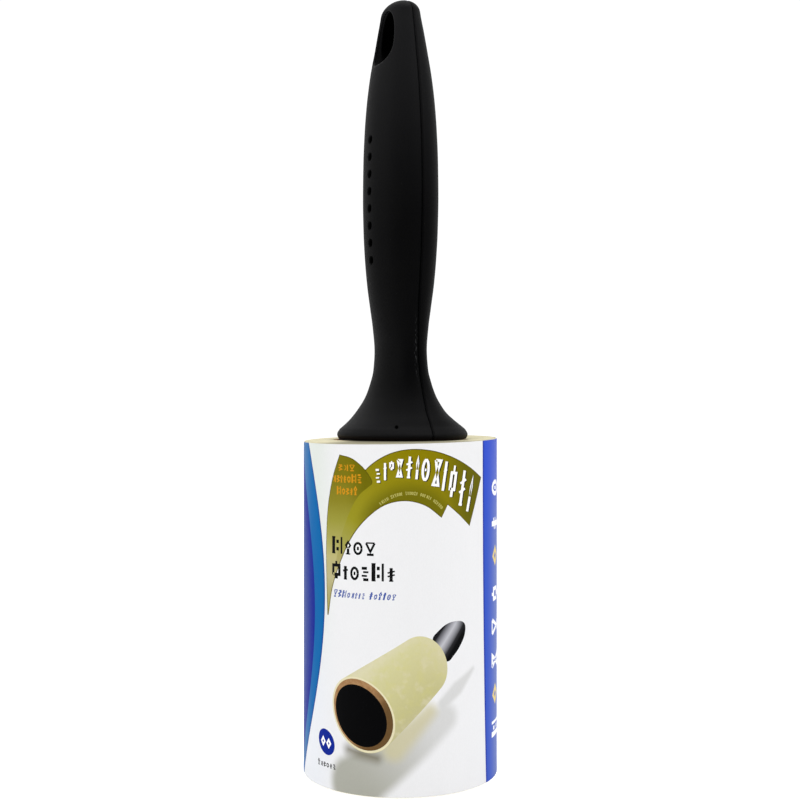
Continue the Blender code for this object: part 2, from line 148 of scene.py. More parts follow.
class Nodes:
    """Short hands for building a node tree."""

    def __init__(self, tree):
        self.tree = tree

    def fill(self, node, inputs):
        """Links or sets a node's inputs, given by name or number; None leaves one alone."""
        for key, value in inputs.items():
            if isinstance(value, Value):
                self.tree.links.new(value.socket, node.inputs[key])
            elif value is not None:
                node.inputs[key].default_value = value

    def new(self, kind, inputs, out=0, **props):
        """Adds a node and returns one of its outputs."""
        node = self.tree.nodes.new(kind)
        for key, value in props.items():
            setattr(node, key, value)
        self.fill(node, inputs)
        return Value(self, node.outputs[out])

    def surface(self, inputs):
        """Fills inputs of the material's Principled BSDF."""
        self.fill(self.tree.nodes["Principled BSDF"], inputs)

    def math(self, operation, *values, clamp=False):
        inputs = dict(enumerate(values))
        return self.new("ShaderNodeMath", inputs, operation=operation, use_clamp=clamp)

    def vector(self, operation, first, second=None, scale=None):
        out = "Value" if operation in ("LENGTH", "DOT_PRODUCT", "DISTANCE") else "Vector"
        inputs = {0: first, 1: second, "Scale": scale}
        return self.new("ShaderNodeVectorMath", inputs, out, operation=operation)

    def mix(self, factor, first, second, blend="MIX"):
        inputs = {0: factor, 6: first, 7: second}
        return self.new("ShaderNodeMix", inputs, 2, data_type="RGBA", blend_type=blend)

    def ramp(self, factor, *stops):
        """Colour ramp. Each stop is its place, then 8-bit red, green and blue."""
        value = self.new("ShaderNodeValToRGB", {0: factor})
        elements = value.socket.node.color_ramp.elements
        while len(elements) < len(stops):
            elements.new(0.5)
        for element, (place, *colour) in zip(elements, stops):
            element.position = place
            element.color = rgb(*colour)
        return value

    def join(self, x, y, z):
        return self.new("ShaderNodeCombineXYZ", {0: x, 1: y, 2: z})

    def bump(self, height, distance, strength, normal=None):
        """Bump over an optional normal. The distance is in metres."""
        inputs = {"Strength": strength, "Distance": distance, "Height": height, "Normal": normal}
        return self.new("ShaderNodeBump", inputs)

    def place(self):
        """Object position in millimetres."""
        position = self.new("ShaderNodeTexCoord", {}, out="Object")
        return self.vector("SCALE", position, scale=1000.0)

    def flat(self):
        """The wrap's unrolled position in millimetres, held as a UV map at 1/100 scale."""
        return self.vector("SCALE", self.new("ShaderNodeUVMap", {}, uv_map="print"), scale=100.0)

    def capsule(self, position, start, end, radii, soft):
        """1 inside a capsule tapering from start to end, fading over soft each side of its edge."""
        axis = (end[0] - start[0], end[1] - start[1], 0.0)
        from_start = position.vector("SUBTRACT", (*start, 0.0)).stretched(1, 1, 0)
        along = self.math("DIVIDE", from_start.dot(axis), axis[0] ** 2 + axis[1] ** 2, clamp=True)
        foot = self.vector("SCALE", axis, scale=along)
        away = from_start.vector("SUBTRACT", foot).length()
        return (away - along.mul_add(radii[1] - radii[0], radii[0])).fall(-soft, soft)


def material(name, build, preview):
    """build(nodes) wires the Principled BSDF; preview is the viewport colour."""
    mat = bpy.data.materials.new(name)
    mat.use_nodes = True
    mat.diffuse_color = (*preview, 1)
    build(Nodes(mat.node_tree))
    return mat


# ============================================================== mesh helpers
def add_object(name, mesh):
    obj = bpy.data.objects.new(name, mesh)
    bpy.context.scene.collection.objects.link(obj)
    return obj


def build_mesh(name, verts, faces, mats, face_mats=None, uv=None, normals=None, uv_name="print"):
    """A mesh object from millimetre points. uv and normals, if given, are one per vertex."""
    mesh = bpy.data.meshes.new(name)
    corners = [tuple(int(i) for i in face) for face in faces]
    mesh.from_pydata((np.asarray(verts) * MM).tolist(), [], corners)
    for mat in mats:
        mesh.materials.append(mat)
    if face_mats is not None:
        mesh.polygons.foreach_set("material_index", np.asarray(face_mats, np.int32))
    if uv is not None:
        layer = mesh.uv_layers.new(name=uv_name)
        index = np.empty(len(mesh.loops), np.int32)
        mesh.loops.foreach_get("vertex_index", index)
        layer.data.foreach_set("uv", (np.asarray(uv)[index] / 100.0).astype(np.float32).ravel())
    mesh.shade_smooth()
    if normals is not None:
        mesh.normals_split_custom_set_from_vertices(np.asarray(normals, float).tolist())
    return add_object(name, mesh)


def fit(piece, carrier, node):
    """Hangs a piece on the frame in place of a CAD node, if it has one."""
    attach(piece, carrier)
    if node:
        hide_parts(node)


class Surface:
    """Vertices with normals and flat places, and the faces over them."""

    def __init__(self, verts, normals, uv, faces):
        self.verts, self.normals, self.uv = list(verts), list(normals), list(uv)
        self.faces = [tuple(face) for face in faces]

    def point(self, place, normal, uv=None):
        """Adds a vertex and returns its index."""
        self.verts.append(np.array(place, float))
        self.normals.append(np.array(normal, float))
        self.uv.append(uv or (place[0], place[2]))
        return len(self.verts) - 1

    def face(self, corners, outwards):
        """Adds a face, turned so that its normal leans along outwards."""
        first, second, third = (self.verts[i] for i in corners[:3])
        lean = np.cross(second - first, third - first) @ outwards
        self.faces.append(tuple(corners if lean > 0 else corners[::-1]))

    def band(self, low, high, reverse):
        """Adds quads between two closed rings of vertices."""
        for k in range(len(low)):
            j = (k + 1) % len(low)
            quad = (low[k], low[j], high[j], high[k])
            self.faces.append(quad[::-1] if reverse else quad)


def inside(points, polygon):
    """Which 2-D points lie inside a polygon."""
    poly = np.asarray(polygon, float)
    x, y = points.T
    low, high = poly.min(0), poly.max(0)
    hit = np.zeros(len(points), bool)
    near = (x >= low[0]) & (x <= high[0]) & (y >= low[1]) & (y <= high[1])
    if not near.any():
        return hit
    x, y = x[near], y[near]
    part = np.zeros(len(x), bool)
    for (x0, y0), (x1, y1) in zip(poly, np.roll(poly, -1, 0)):
        if y0 != y1:
            part ^= ((y0 > y) != (y1 > y)) & (x < (x1 - x0) * (y - y0) / (y1 - y0) + x0)
    hit[near] = part
    return hit


def triangulate(points, loops):
    """Delaunay triangles over free points and closed loops kept as edges.

    Returns 2-D points, triangles, and the input point each output point came from (loops
    first, then free points), or -1.
    """
    verts, edges = [], []
    for loop in loops:
        base, count = len(verts), len(loop)
        verts += [Vector((float(p[0]), float(p[1]))) for p in loop]
        edges += [(base + i, base + (i + 1) % count) for i in range(count)]
    verts += [Vector((float(p[0]), float(p[1]))) for p in points]
    out, _, faces, origin, _, _ = delaunay_2d_cdt(verts, edges, [], 0, 1e-5)
    source = np.array([o[0] if o else -1 for o in origin])
    return np.array([(v.x, v.y) for v in out]), np.array([f for f in faces if len(f) == 3]), source


def face_crosses(verts, faces):
    """Cross product of each triangle's first two edges."""
    first, second, third = (verts[faces[:, k]] for k in range(3))
    return np.cross(second - first, third - first)


def vertex_normals(verts, faces):
    crosses = face_crosses(verts, faces)
    out = np.zeros_like(verts)
    for k in range(3):
        np.add.at(out, faces[:, k], crosses)
    return out / np.maximum(np.linalg.norm(out, axis=1, keepdims=True), 1e-12)


def curve_through(xs, ys):
    """Monotone cubic through stations: a function of an array giving value and slope."""
    gap = np.diff(xs)
    chord = np.diff(ys) / gap
    m = np.empty(len(xs))  # slope at each station
    m[0], m[-1] = chord[0], chord[-1]
    for i in range(1, len(xs) - 1):
        if chord[i - 1] * chord[i] <= 0:
            m[i] = 0.0
        else:
            before, after = 2 * gap[i] + gap[i - 1], gap[i] + 2 * gap[i - 1]
            m[i] = (before + after) / (before / chord[i - 1] + after / chord[i])

    def at(x):
        i = np.clip(np.searchsorted(xs, x, "right") - 1, 0, len(xs) - 2)
        t = np.clip((x - xs[i]) / gap[i], 0, 1)
        value = (
            (2 * t**3 - 3 * t * t + 1) * ys[i]
            + (t**3 - 2 * t * t + t) * gap[i] * m[i]
            + (3 * t * t - 2 * t**3) * ys[i + 1]
            + (t**3 - t * t) * gap[i] * m[i + 1]
        )
        slope = (
            (6 * t * t - 6 * t) * (ys[i] - ys[i + 1]) / gap[i]
            + (3 * t * t - 4 * t + 1) * m[i]
            + (3 * t * t - 2 * t) * m[i + 1]
        )
        return value, slope

    return at


# ============================================================== grip shells
GRIP_Z0 = span("handle_front_shell")[1]
# Height, half width across X, half thickness across Y; a dome closes the top end.
GRIP = (
    (GRIP_Z0, 19.6, 19.6), (GRIP_Z0 + 0.3, 19.9, 19.9), (GRIP_Z0 + 0.9, 20.15, 20.15),
    (104.8, 19.6, 19.4), (106.0, 18.8, 17.8), (107.6, 18.3, 15.6), (109.5, 17.5, 13.4),
    (111.5, 16.8, 11.6), (115.0, 15.4, 9.3), (118.8, 14.1, 7.85), (123.0, 12.9, 6.85),
    (129.0, 12.15, 6.6), (136.0, 12.1, 7.4), (142.0, 12.4, 8.4), (149.0, 13.15, 9.4),
    (157.0, 13.9, 10.1), (166.0, 14.45, 10.55), (176.0, 14.75, 10.7), (187.0, 14.55, 10.6),
    (197.0, 13.95, 10.25), (205.0, 13.2, 9.7), (212.5, 12.2, 8.85), (219.5, 11.0, 7.7),
    (226.5, 9.75, 6.45), (231.4, 8.75, 5.5), (234.0, 8.3, 5.15), (237.2, 7.9, 5.0),
)
WIDEN = 1.01  # scales the tabled half widths
DOME_Z, DOME_H = 232.75, 4.15
# Half gap between shells, half width and depth of the parting groove.
SEAM_Y, LIP, GROOVE = 0.12, 0.58, 0.5
# Hanging hole: middle height, half width, half height, extra half width below, edge fillet.
HOLE_Z, HOLE_X, HOLE_H, HOLE_EGG, HOLE_FILLET = 225.0, 5.75, 8.25, 1.35, 0.95
HOLE_COUNT = 72
DIMPLE_Z, DIMPLE_PITCH, DIMPLE_R = 156.6, 5.26, 1.4
DIMPLES = [DIMPLE_Z + DIMPLE_PITCH * k for k in range(8)]

grip_heights, grip_widths, grip_depths = np.array(GRIP, float).T
half_width = curve_through(grip_heights, grip_widths)
half_depth = curve_through(grip_heights, grip_depths)


def grip_section(z):
    """Half width and half depth, then the slopes of both, at heights z, with the dome."""
    z = np.asarray(z, float)
    width, width_slope = half_width(z)
    width, width_slope = width * WIDEN, width_slope * WIDEN
    depth, depth_slope = half_depth(z)
    rise = np.clip((z - DOME_Z) / DOME_H, 0, 0.99995)
    k = np.sqrt(1 - rise * rise)
    k_slope = -rise / DOME_H / k
    slopes = width_slope * k + width * k_slope, depth_slope * k + depth * k_slope
    return width * k, depth * k, *slopes


def grip_point(x, z, side):
    """Surface point and normal where a line along Y at (x, z) leaves the grip on a side."""
    width, depth, width_slope, depth_slope = grip_section(z)
    y = depth * np.sqrt(np.maximum(0, 1 - (x / width) ** 2))
    normal_z = -(x**2) * width_slope / width**3 - y**2 * depth_slope / depth**3
    normal = np.stack([x / width**2, y / depth**2, normal_z], -1)
    normal /= np.linalg.norm(normal, axis=-1, keepdims=True)
    normal[..., 1] *= side
    return np.stack([x, side * y, z], -1), normal


def hole_loop(offset):
    """Egg-shaped outline, wider below its middle, moved outwards by an offset."""
    line = []
    for k in range(HOLE_COUNT):
        turn = math.tau * k / HOLE_COUNT
        across, rise = (math.copysign(abs(v) ** 0.8, v) for v in (math.cos(turn), math.sin(turn)))
        line.append(((HOLE_X - HOLE_EGG * rise) * across, HOLE_Z + HOLE_H * rise))
    out = []
    for k, (x, z) in enumerate(line):
        (x0, z0), (x1, z1) = line[k - 1], line[(k + 1) % HOLE_COUNT]
        size = math.hypot(x1 - x0, z1 - z0)
        out.append((x + offset * (z1 - z0) / size, z - offset * (x1 - x0) / size))
    return out


def loop_normals(loop):
    """Outward normals (x, z) along an anticlockwise outline."""
    out = []
    for k in range(len(loop)):
        (x0, z0), (x1, z1) = loop[k - 1], loop[(k + 1) % len(loop)]
        size = math.hypot(x1 - x0, z1 - z0)
        out.append(((z1 - z0) / size, -(x1 - x0) / size))
    return out


DOME_DEGREES = (0, 6, 12, 19, 26, 33, 41, 49, 57, 65, 73, 80, 85)
ROWS = [  # heights of the shell's rows of points
    *np.arange(GRIP_Z0, 105.0, 0.17),
    *np.arange(105.0, 118, 0.55),
    *np.arange(118, 214, 1.15),
    *np.arange(214, DOME_Z, 0.75),
    *(DOME_Z + DOME_H * math.sin(math.radians(d)) for d in DOME_DEGREES),
]
HOLE_RIM = hole_loop(0.0)


def row_place(z):
    """Height to the flat domain's second coordinate, which stretches the dome out."""
    rise = np.clip((np.asarray(z, float) - DOME_Z) / DOME_H, 0, 1)
    return np.where(z > DOME_Z, DOME_Z + 6.5 * np.arcsin(rise), z)


def column_place(x, z):
    """(x, z) to the flat domain's first coordinate, +-19 on the seam edges."""
    width, depth, _, _ = grip_section(z)
    edge = np.arcsin(np.minimum(1, SEAM_Y / depth))
    turn = np.arccos(np.clip(x / width, -1, 1))
    return 19.0 * (math.pi / 2 - turn) / (math.pi / 2 - edge)


def hole_and_dimple_points(dimpled):
    """(x, z, depth along the normal, depth along Y) round the hole and over the dimples."""
    points = []
    for offset in (0, 0.04, 0.14, 0.28, 0.46, 0.68, HOLE_FILLET):
        fillet = HOLE_FILLET - math.sqrt(HOLE_FILLET**2 - (HOLE_FILLET - offset) ** 2)
        points += [(x, z, 0.0, fillet) for x, z in hole_loop(offset)]
    points += [(x, z, 0.0, 0.0) for x, z in hole_loop(1.3)]
    for middle in DIMPLES if dimpled else ():
        for r in (0.0, 0.3, 0.6, 0.85, 1.05, 1.2, 1.32, 1.45, 1.65):
            sink = 1.1 * max(0.0, 1 - (r / DIMPLE_R) ** 2) ** 0.7 if r < DIMPLE_R else 0.0
            for k in range(1 if r == 0 else 22):
                turn = math.tau * k / 22
                points.append((r * math.cos(turn), middle + r * math.sin(turn), sink, 0.0))
    return points


def row_points(dimpled):
    """The same columns for the rows of points, which are closest together beside the seam."""
    points = []
    keep_out = np.array(hole_loop(1.12))
    for z in ROWS:
        width, depth, _, _ = (float(v) for v in grip_section(z))
        steps = (SEAM_Y, 0.17, 0.26, 0.38, 0.5, LIP, 0.7, 0.9, 1.2)
        turns = [math.asin(y / depth) for y in steps if y <= 0.55 * depth]
        count, edge = 34 if z < 230 else 22, turns[-1]
        turns += [edge + (math.pi / 2 - edge) * k / count for k in range(1, count + 1)]
        for turn in turns:
            y = depth * math.sin(turn)
            sink = GROOVE * max(0.0, 1 - y / LIP) ** 0.85
            for sign in (1, -1) if turn < math.pi / 2 - 1e-6 else (1,):
                x = sign * width * math.cos(turn)
                if abs(x) < 10 and inside(np.array([(x, z)]), keep_out)[0]:
                    continue
                if dimpled and any((x * x + (z - middle) ** 2) < 1.85**2 for middle in DIMPLES):
                    continue
                points.append((x, z, sink, 0.0))
    return points


def shell_skin(x, z, sink, cut, side):
    """The shell's outer face as a Surface, its first points running round the hole."""
    flat = np.stack([column_place(x, z), row_place(z)], -1)
    hole = flat[:HOLE_COUNT]
    _, faces, source = triangulate(flat[HOLE_COUNT:], [hole])
    faces = source[faces]
    faces = faces[~inside(flat[faces].mean(1), hole)]
    base, normal = grip_point(x, z, side)
    normal = np.nan_to_num(normal)
    verts = base - normal * sink[:, None]
    verts[:, 1] -= side * cut
    crosses = face_crosses(verts, faces)
    flip = (crosses * normal[faces[:, 0]]).sum(1) < 0
    faces[flip] = faces[flip][:, ::-1]
    faces = faces[np.linalg.norm(crosses, axis=1) > 1e-9]
    shaped = (sink > 0) | (cut > 0)
    normals = np.where(shaped[:, None], vertex_normals(verts, faces), normal)
    normals[:HOLE_COUNT] = [(-nx, 0.0, -nz) for nx, nz in loop_normals(HOLE_RIM)]
    uv = [(column, height) for column, height in np.stack([column_place(x, z), z], -1)]
    return Surface(verts, normals, uv, faces)


def add_hole_wall(shell, side):
    """Wall of the hanging hole, down to the parting plane."""
    rim, normals = shell.verts[:HOLE_COUNT], shell.normals[:HOLE_COUNT]
    previous = list(range(HOLE_COUNT))
    for part in (0.35, 0.7, 1.0):
        ring = [
            shell.point((x, y + (side * SEAM_Y - y) * part, z), normal)
            for (x, y, z), normal in zip(rim, normals)
        ]
        shell.band(previous, ring, reverse=side > 0)
        previous = ring


def seam_outline(side):
    """The shell's outline (x, z) at the bottom of the parting groove."""
    right = []
    for z in ROWS:
        width, depth, _, _ = (float(v) for v in grip_section(z))
        x = width * math.cos(math.asin(SEAM_Y / depth))
        point, normal = grip_point(np.array([x]), np.array([z]), side)
        sunk = point[0] - normal[0] * GROOVE * (1 - SEAM_Y / LIP) ** 0.85
        right.append((float(sunk[0]), float(sunk[2])))
    return right + [(-x, z) for x, z in reversed(right)]


def add_parting_face(shell, outline, side):
    """Flat face on the parting plane, with the hole in it."""
    points, triangles, _ = triangulate([], [outline, HOLE_RIM])
    index = [shell.point((x, side * SEAM_Y, z), (0, -side, 0)) for x, z in points]
    middles = points[triangles].mean(1)
    for triangle in triangles[inside(middles, outline) & ~inside(middles, HOLE_RIM)]:
        shell.face([index[i] for i in triangle], (0, -side, 0))


def add_ends(shell, top, bottom, side):
    """Tip of the dome above the top row, and the underside inwards from the bottom row."""
    tip = shell.point((0, side * SEAM_Y * 0.6, DOME_Z + DOME_H - 0.03), (0, 0, 1))
    for i, j in zip(top, top[1:]):
        shell.face((i, j, tip), (0, 0, 1))

    def ring(radius):
        out = []
        for i in bottom:
            x, y, z = shell.verts[i]
            if radius:
                size = math.hypot(x, y)
                x, y, z = x * radius / size, y * radius / size, GRIP_Z0 - 0.02
            out.append(shell.point((x, y, z), (0, 0, -1)))
        return out

    for inner_r, outer_r in ((18.6, None), (6.5, 18.6)):  # None: the shell's own edge
        inner, outer = ring(inner_r), ring(outer_r)
        for k in range(len(bottom) - 1):
            shell.face((inner[k], inner[k + 1], outer[k + 1], outer[k]), (0, 0, -1))


def add_tongue(shell, outline):
    """Tongue of the front shell, which closes the gap between the two."""
    for inset_by, loop, sign in ((0.35, outline, -1), (0.6, HOLE_RIM, 1)):
        line = [
            (x + sign * inset_by * nx, z + sign * inset_by * nz, (-sign * nx, 0, -sign * nz))
            for (x, z), (nx, nz) in zip(loop, loop_normals(loop))
        ]
        rings = [
            [shell.point((x, y, z), normal) for x, z, normal in line]
            for y in (-SEAM_Y, SEAM_Y + 0.3)
        ]
        shell.band(*rings, reverse=sign < 0)


def make_shell(name, side, dimpled, mat):
    """One half of the grip. side is the sign of the Y it lies on."""
    points = hole_and_dimple_points(dimpled) + row_points(dimpled)
    x, z, sink, cut = np.array(points, float).T
    shell = shell_skin(x, z, sink, cut, side)
    add_hole_wall(shell, side)
    outline = seam_outline(side)
    add_parting_face(shell, outline, side)
    top, bottom = (
        sorted((i for i in range(len(x)) if abs(z[i] - row) < 1e-6), key=lambda i: -x[i])
        for row in (ROWS[-1], GRIP_Z0)
    )
    add_ends(shell, top, bottom, side)
    if side < 0:
        add_tongue(shell, outline)
    # the flare sits a little to one side, and its rim turns down to just above the wound roll
    for i, (x, y, z) in enumerate(shell.verts):
        lean = min(1.0, max(0.0, (111.0 - z) / 6.0))
        lean = 0.62 * lean * lean * (3 - 2 * lean)
        drop = 0.75 * min(1.0, max(0.0, (106.0 - z) / (106.0 - GRIP_Z0))) ** 2
        shell.verts[i] = (x + lean * RIGHT[0], y + lean * RIGHT[1], z - drop)
    return build_mesh(
        name, shell.verts, shell.faces, [mat], uv=shell.uv, normals=shell.normals, uv_name="grip"
    )


def grip_plastic(n):
    p = n.place()
    x, y, z = p.xyz()
    grain = p.noise(scale=3.2, detail=3.0, rough=0.6)
    fine = p.noise(scale=9.0)
    cloud = p.noise(scale=0.12, detail=3.0, rough=0.55)
    base = n.mix(cloud, rgb(2, 2, 3), rgb(6, 6, 6))
    # painted highlight: both ends are a little paler, where their faces tilt up to the top light
    bare = z.rise(160, 232).maximum(z.fall(103, 121))
    base = n.mix(bare * 0.65, base, rgb(28, 28, 29))
    # rubbed streaks beside the seam on the neck
    neck = z.rise(116, 124) * z.fall(132, 142)
    beside_seam = abs(y + 0.95).fall(0.1, 0.7)
    streaks = p.stretched(2.8, 2.8, 0.8).noise(scale=1.0, detail=3.0, rough=0.7).rise(0.53, 0.66)
    base = n.mix(neck * beside_seam * streaks * 0.3, base, rgb(92, 92, 94))
    # painted shade: the front dimples' pits are painted near black and matt
    up = (((z - DIMPLE_Z) / DIMPLE_PITCH + 0.5).fract() - 0.5) * DIMPLE_PITCH
    start, end = DIMPLES[0] - 2.5, DIMPLES[-1] + DIMPLE_PITCH / 2
    rows = z.rise(start, DIMPLES[0] - 2.4) * z.fall(end - 0.1, end)
    shade_and_gate_scar = n.join(x, up, 0.0).length().fall(1.0, DIMPLE_R) * rows * y.fall(-8.0, -7.0)
    # the moulding gate's scar, on the viewer's side of the flare
    gate = n.join(p.dot(RIGHT) + 1.1, z - 105.8, 0.0).length()
    shade_and_gate_scar = shade_and_gate_scar.maximum(gate.fall(0.3, 0.75) * p.dot(FRONT).rise(4.0, 6.0))
    # painted shade: the hanging hole's wall is painted near black, all but its lower end near the
    # dimpled face, which is left lit
    egg = n.join(x / 7.4, (z - HOLE_Z) / 9.0, 0.0).length()
    within = egg.fall(0.985, 1.0) * abs(y).fall(3.3, 3.9)
    lit = y.fall(-4.4, -1.6) * z.fall(218.5, 223.5)
    shade_and_gate_scar = shade_and_gate_scar.maximum(within * (1.0 - lit))
    n.surface({
        "Base Color": n.mix(shade_and_gate_scar, base, rgb(1, 1, 1)),
        "Roughness": shade_and_gate_scar.mul_add(0.3, grain.ease(0.25, 0.8, to_start=0.44, to_end=0.6)),
        "Specular IOR Level": bare.mul_add(0.01, 0.03) * (1.0 - shade_and_gate_scar),
        "Normal": n.bump(fine.mul_add(0.4, grain), distance=0.00006, strength=0.55),
    })


GRIP_MAT = material("grip_black_plastic", grip_plastic, (0.01, 0.01, 0.01))
front_shell = make_shell("grip_front", -1, True, GRIP_MAT)
rear_shell = make_shell("grip_rear", 1, False, GRIP_MAT)
fit(front_shell, "handle", "handle_front_shell")
fit(rear_shell, "handle", "handle_rear_shell")

# ============================================================== printed wrap: outlines
# The print is laid out flat: s is the distance round from the middle of the wrap's front,
# growing to the viewer's right, and z is the height.
SEAM_S, OVERLAP = 62.0, 6.0  # the wrap's glued edge, and how far it covers the sheet's start
S0, S1 = SEAM_S - math.tau * WRAP_R - OVERLAP, SEAM_S
prints = []  # (ink, polygon) from the bottom coat to the top


def ink(name, polygon):
    prints.append((name, [(float(s), float(z)) for s, z in polygon]))


def rect(s0, z0, s1, z1):
    return [(s0, z0), (s1, z0), (s1, z1), (s0, z1)]


def diamond(s, z, half_s, half_z):
    return [(s - half_s, z), (s, z - half_z), (s + half_s, z), (s, z + half_z)]


def rounded(s0, z0, s1, z1, r):
    r = min(r, (s1 - s0) / 2, (z1 - z0) / 2)
    corners = (
        (s1 - r, z0 + r, -90), (s1 - r, z1 - r, 0), (s0 + r, z1 - r, 90), (s0 + r, z0 + r, 180),
    )
    out = []
    for s, z, start in corners:
        for k in range(4):
            turn = math.radians(start + 30 * k)
            out.append((s + r * math.cos(turn), z + r * math.sin(turn)))
    return out


def oval(s, z, half_s, half_z, tilt=0.0, count=40):
    """Sheared ellipse: tilt turns the phase of its height, in degrees."""
    turns = [math.tau * k / count for k in range(count)]
    phase = math.radians(tilt)
    return [(s + half_s * math.cos(t), z + half_z * math.sin(t + phase)) for t in turns]


def smooth(points, closed=False, per=6):
    """Catmull-Rom curve through points."""
    pts = [np.array(p, float) for p in points]
    count = len(pts)
    out = []
    for i in range(count if closed else count - 1):
        p0 = pts[i - 1] if (closed or i > 0) else 2 * pts[0] - pts[1]
        p1, p2 = pts[i], pts[(i + 1) % count]
        p3 = pts[(i + 2) % count] if (closed or i + 2 < count) else 2 * p2 - p1
        for k in range(per):
            t = k / per
            square = (2 * p0 - 5 * p1 + 4 * p2 - p3) * t * t
            cube = (3 * p1 - p0 - 3 * p2 + p3) * t**3
            out.append(tuple(0.5 * (2 * p1 + (p2 - p0) * t + square + cube)))
    if not closed:
        out.append(tuple(pts[-1]))
    return out


def hull(points):
    """Convex hull."""
    points = sorted(set((round(s, 5), round(z, 5)) for s, z in points))

    def half(sequence):
        out = []
        for p in sequence:
            while len(out) > 1:
                (s0, z0), (s1, z1) = out[-2:]
                if (s1 - s0) * (p[1] - z0) > (z1 - z0) * (p[0] - s0):
                    break
                out.pop()
            out.append(p)
        return out[:-1]

    return half(points) + half(reversed(points))


def inset(polygon, distance):
    """A closed outline drawn in along its own normals."""
    pts = np.array(polygon, float)
    pts = pts[np.linalg.norm(pts - np.roll(pts, 1, 0), axis=1) > 1e-6]
    following = np.roll(pts, -1, 0)
    along = following - np.roll(pts, 1, 0)
    along /= np.maximum(np.linalg.norm(along, axis=1, keepdims=True), 1e-9)
    area = np.sum(pts[:, 0] * following[:, 1] - following[:, 0] * pts[:, 1])
    normal = np.stack([-along[:, 1], along[:, 0]], -1) * np.sign(area)
    return [tuple(p) for p in pts + normal * distance]


def stroke(points, width):
    """Outline of a line of constant width with mitred corners and square ends."""
    pts = [np.array(p, float) for p in points]
    left, right = [], []
    for k, p in enumerate(pts):
        before = pts[k] - pts[k - 1] if k else pts[1] - pts[0]
        after = pts[k + 1] - pts[k] if k + 1 < len(pts) else pts[-1] - pts[-2]
        before, after = before / np.linalg.norm(before), after / np.linalg.norm(after)
        middle = before + after
        middle /= np.linalg.norm(middle)
        normal = np.array([-middle[1], middle[0]])
        reach = width / 2 / max(0.45, normal @ np.array([-after[1], after[0]]))
        left.append(tuple(p + normal * reach))
        right.append(tuple(p - normal * reach))
    return left + right[::-1]


def arc_line(cx, cy, rx, ry, start=0, sweep=360, count=14):
    """Points along an elliptical arc, in degrees."""
    turns = [math.radians(start + sweep * k / count) for k in range(count + 1)]
    return [(cx + rx * math.cos(turn), cy + ry * math.sin(turn)) for turn in turns]


# Invented signs that fill a line the way lettering does, without being letters: width, then
# (line, thickness). Each is drawn one unit high.
MARKS = (
    (0.62, (((0.31, 0), (0.31, 1)), 0.16), (((0.03, 0.36), (0.59, 0.50)), 0.08),
     (((0.03, 0.62), (0.59, 0.76)), 0.08), (((0.14, 0.035), (0.48, 0.035)), 0.07)),
    (0.46, (((0.23, 0), (0.23, 0.42)), 0.16),
     (((0.23, 0.42), (0.42, 0.70), (0.23, 0.98), (0.04, 0.70), (0.23, 0.42)), 0.10),
     (((0.04, 0.035), (0.42, 0.035)), 0.07)),
    (0.78, (((0.12, 0), (0.12, 1)), 0.16), (((0.68, 0), (0.68, 1)), 0.09),
     (((0.32, 0.28), (0.50, 0.28)), 0.14), (((0.32, 0.72), (0.50, 0.72)), 0.14),
     (((0.0, 0.965), (0.25, 0.965)), 0.07), (((0.0, 0.035), (0.25, 0.035)), 0.07)),
    (0.74, (((0.05, 0.94), (0.37, 0.28), (0.69, 0.94)), 0.12),
     (((0.05, 0.96), (0.69, 0.96)), 0.08), (((0.12, 0.06), (0.62, 0.06)), 0.13)),
    (0.66, (((0.56, 0), (0.56, 1)), 0.16), (arc_line(0.02, 0.5, 0.32, 0.40, -72, 144, 8), 0.10),
     (((0.44, 0.035), (0.66, 0.035)), 0.07)),
    (0.68, (((0.10, 0.24), (0.58, 0.24), (0.58, 0.76), (0.10, 0.76), (0.10, 0.20)), 0.12),
     (((0.34, 0.78), (0.34, 1.0)), 0.10), (((0.34, 0.0), (0.34, 0.22)), 0.16)),
    (0.66, (((0.10, 0.96), (0.56, 0.74), (0.12, 0.50), (0.56, 0.26), (0.10, 0.04)), 0.14),
     (((0.34, 0.965), (0.6, 0.965)), 0.08)),
    (0.64, (((0.16, 0.08), (0.60, 0.08)), 0.15), (((0.04, 0.36), (0.48, 0.36)), 0.10),
     (((0.16, 0.64), (0.60, 0.64)), 0.10), (((0.04, 0.92), (0.48, 0.92)), 0.15)),
    (0.70, (((0.08, 0.95), (0.62, 0.95), (0.08, 0.05), (0.62, 0.05), (0.08, 0.95)), 0.12)),
    (0.74, (arc_line(0.37, 0.5, 0.29, 0.42), 0.13), (((0.29, 0.5), (0.45, 0.5)), 0.18)),
    (0.50, (((0.25, 0), (0.25, 1)), 0.17), (((0.02, 0.64), (0.48, 0.74)), 0.10),
     (((0.10, 0.035), (0.40, 0.035)), 0.07)),
)


def mark(name, index, size, place, squeeze=1.0, bold=1.0, slant=0.0):
    """One mark, its points put down by place(across, up). Returns its width."""
    width, *lines = MARKS[index % len(MARKS)]
    for points, thick in lines:
        line = [(x * squeeze * size, y * size) for x, y in points]
        ink(name, [place(x + slant * y, y) for x, y in stroke(line, thick * size * bold)])
    return width * squeeze * size


def line_of_marks(name, s0, s1, z, size, order, tall=(), gap=0.16, bold=1.0, slant=0.0, small=0.76):
    """Marks spread from s0 to s1. None in order is a word space; those in tall are full height."""
    heights = [size * (1.0 if k in tall else small) for k in range(len(order))]
    natural = sum(0.55 * size if i is None else MARKS[i][0] * h for i, h in zip(order, heights))
    natural += gap * size * sum(i is not None for i in order)
    squeeze = (s1 - s0) / natural
    s = s0
    for i, height in zip(order, heights):
        if i is None:
            s += 0.55 * size * squeeze
            continue
        width = mark(name, i, height, lambda x, y: (s + x, z + y), squeeze, bold, slant)
        s += width + gap * size * squeeze


def greeked(s0, s1, z, size, widths, gap):
    """A small line of plain grey bars with the given relative widths."""
    unit = (s1 - s0) / (sum(widths) + gap * len(widths))
    s = s0
    for width in widths:
        ink("grey_ink", rounded(s, z, s + width * unit, z + size * 0.72, 0.16 * size))
        s += (width + gap) * unit


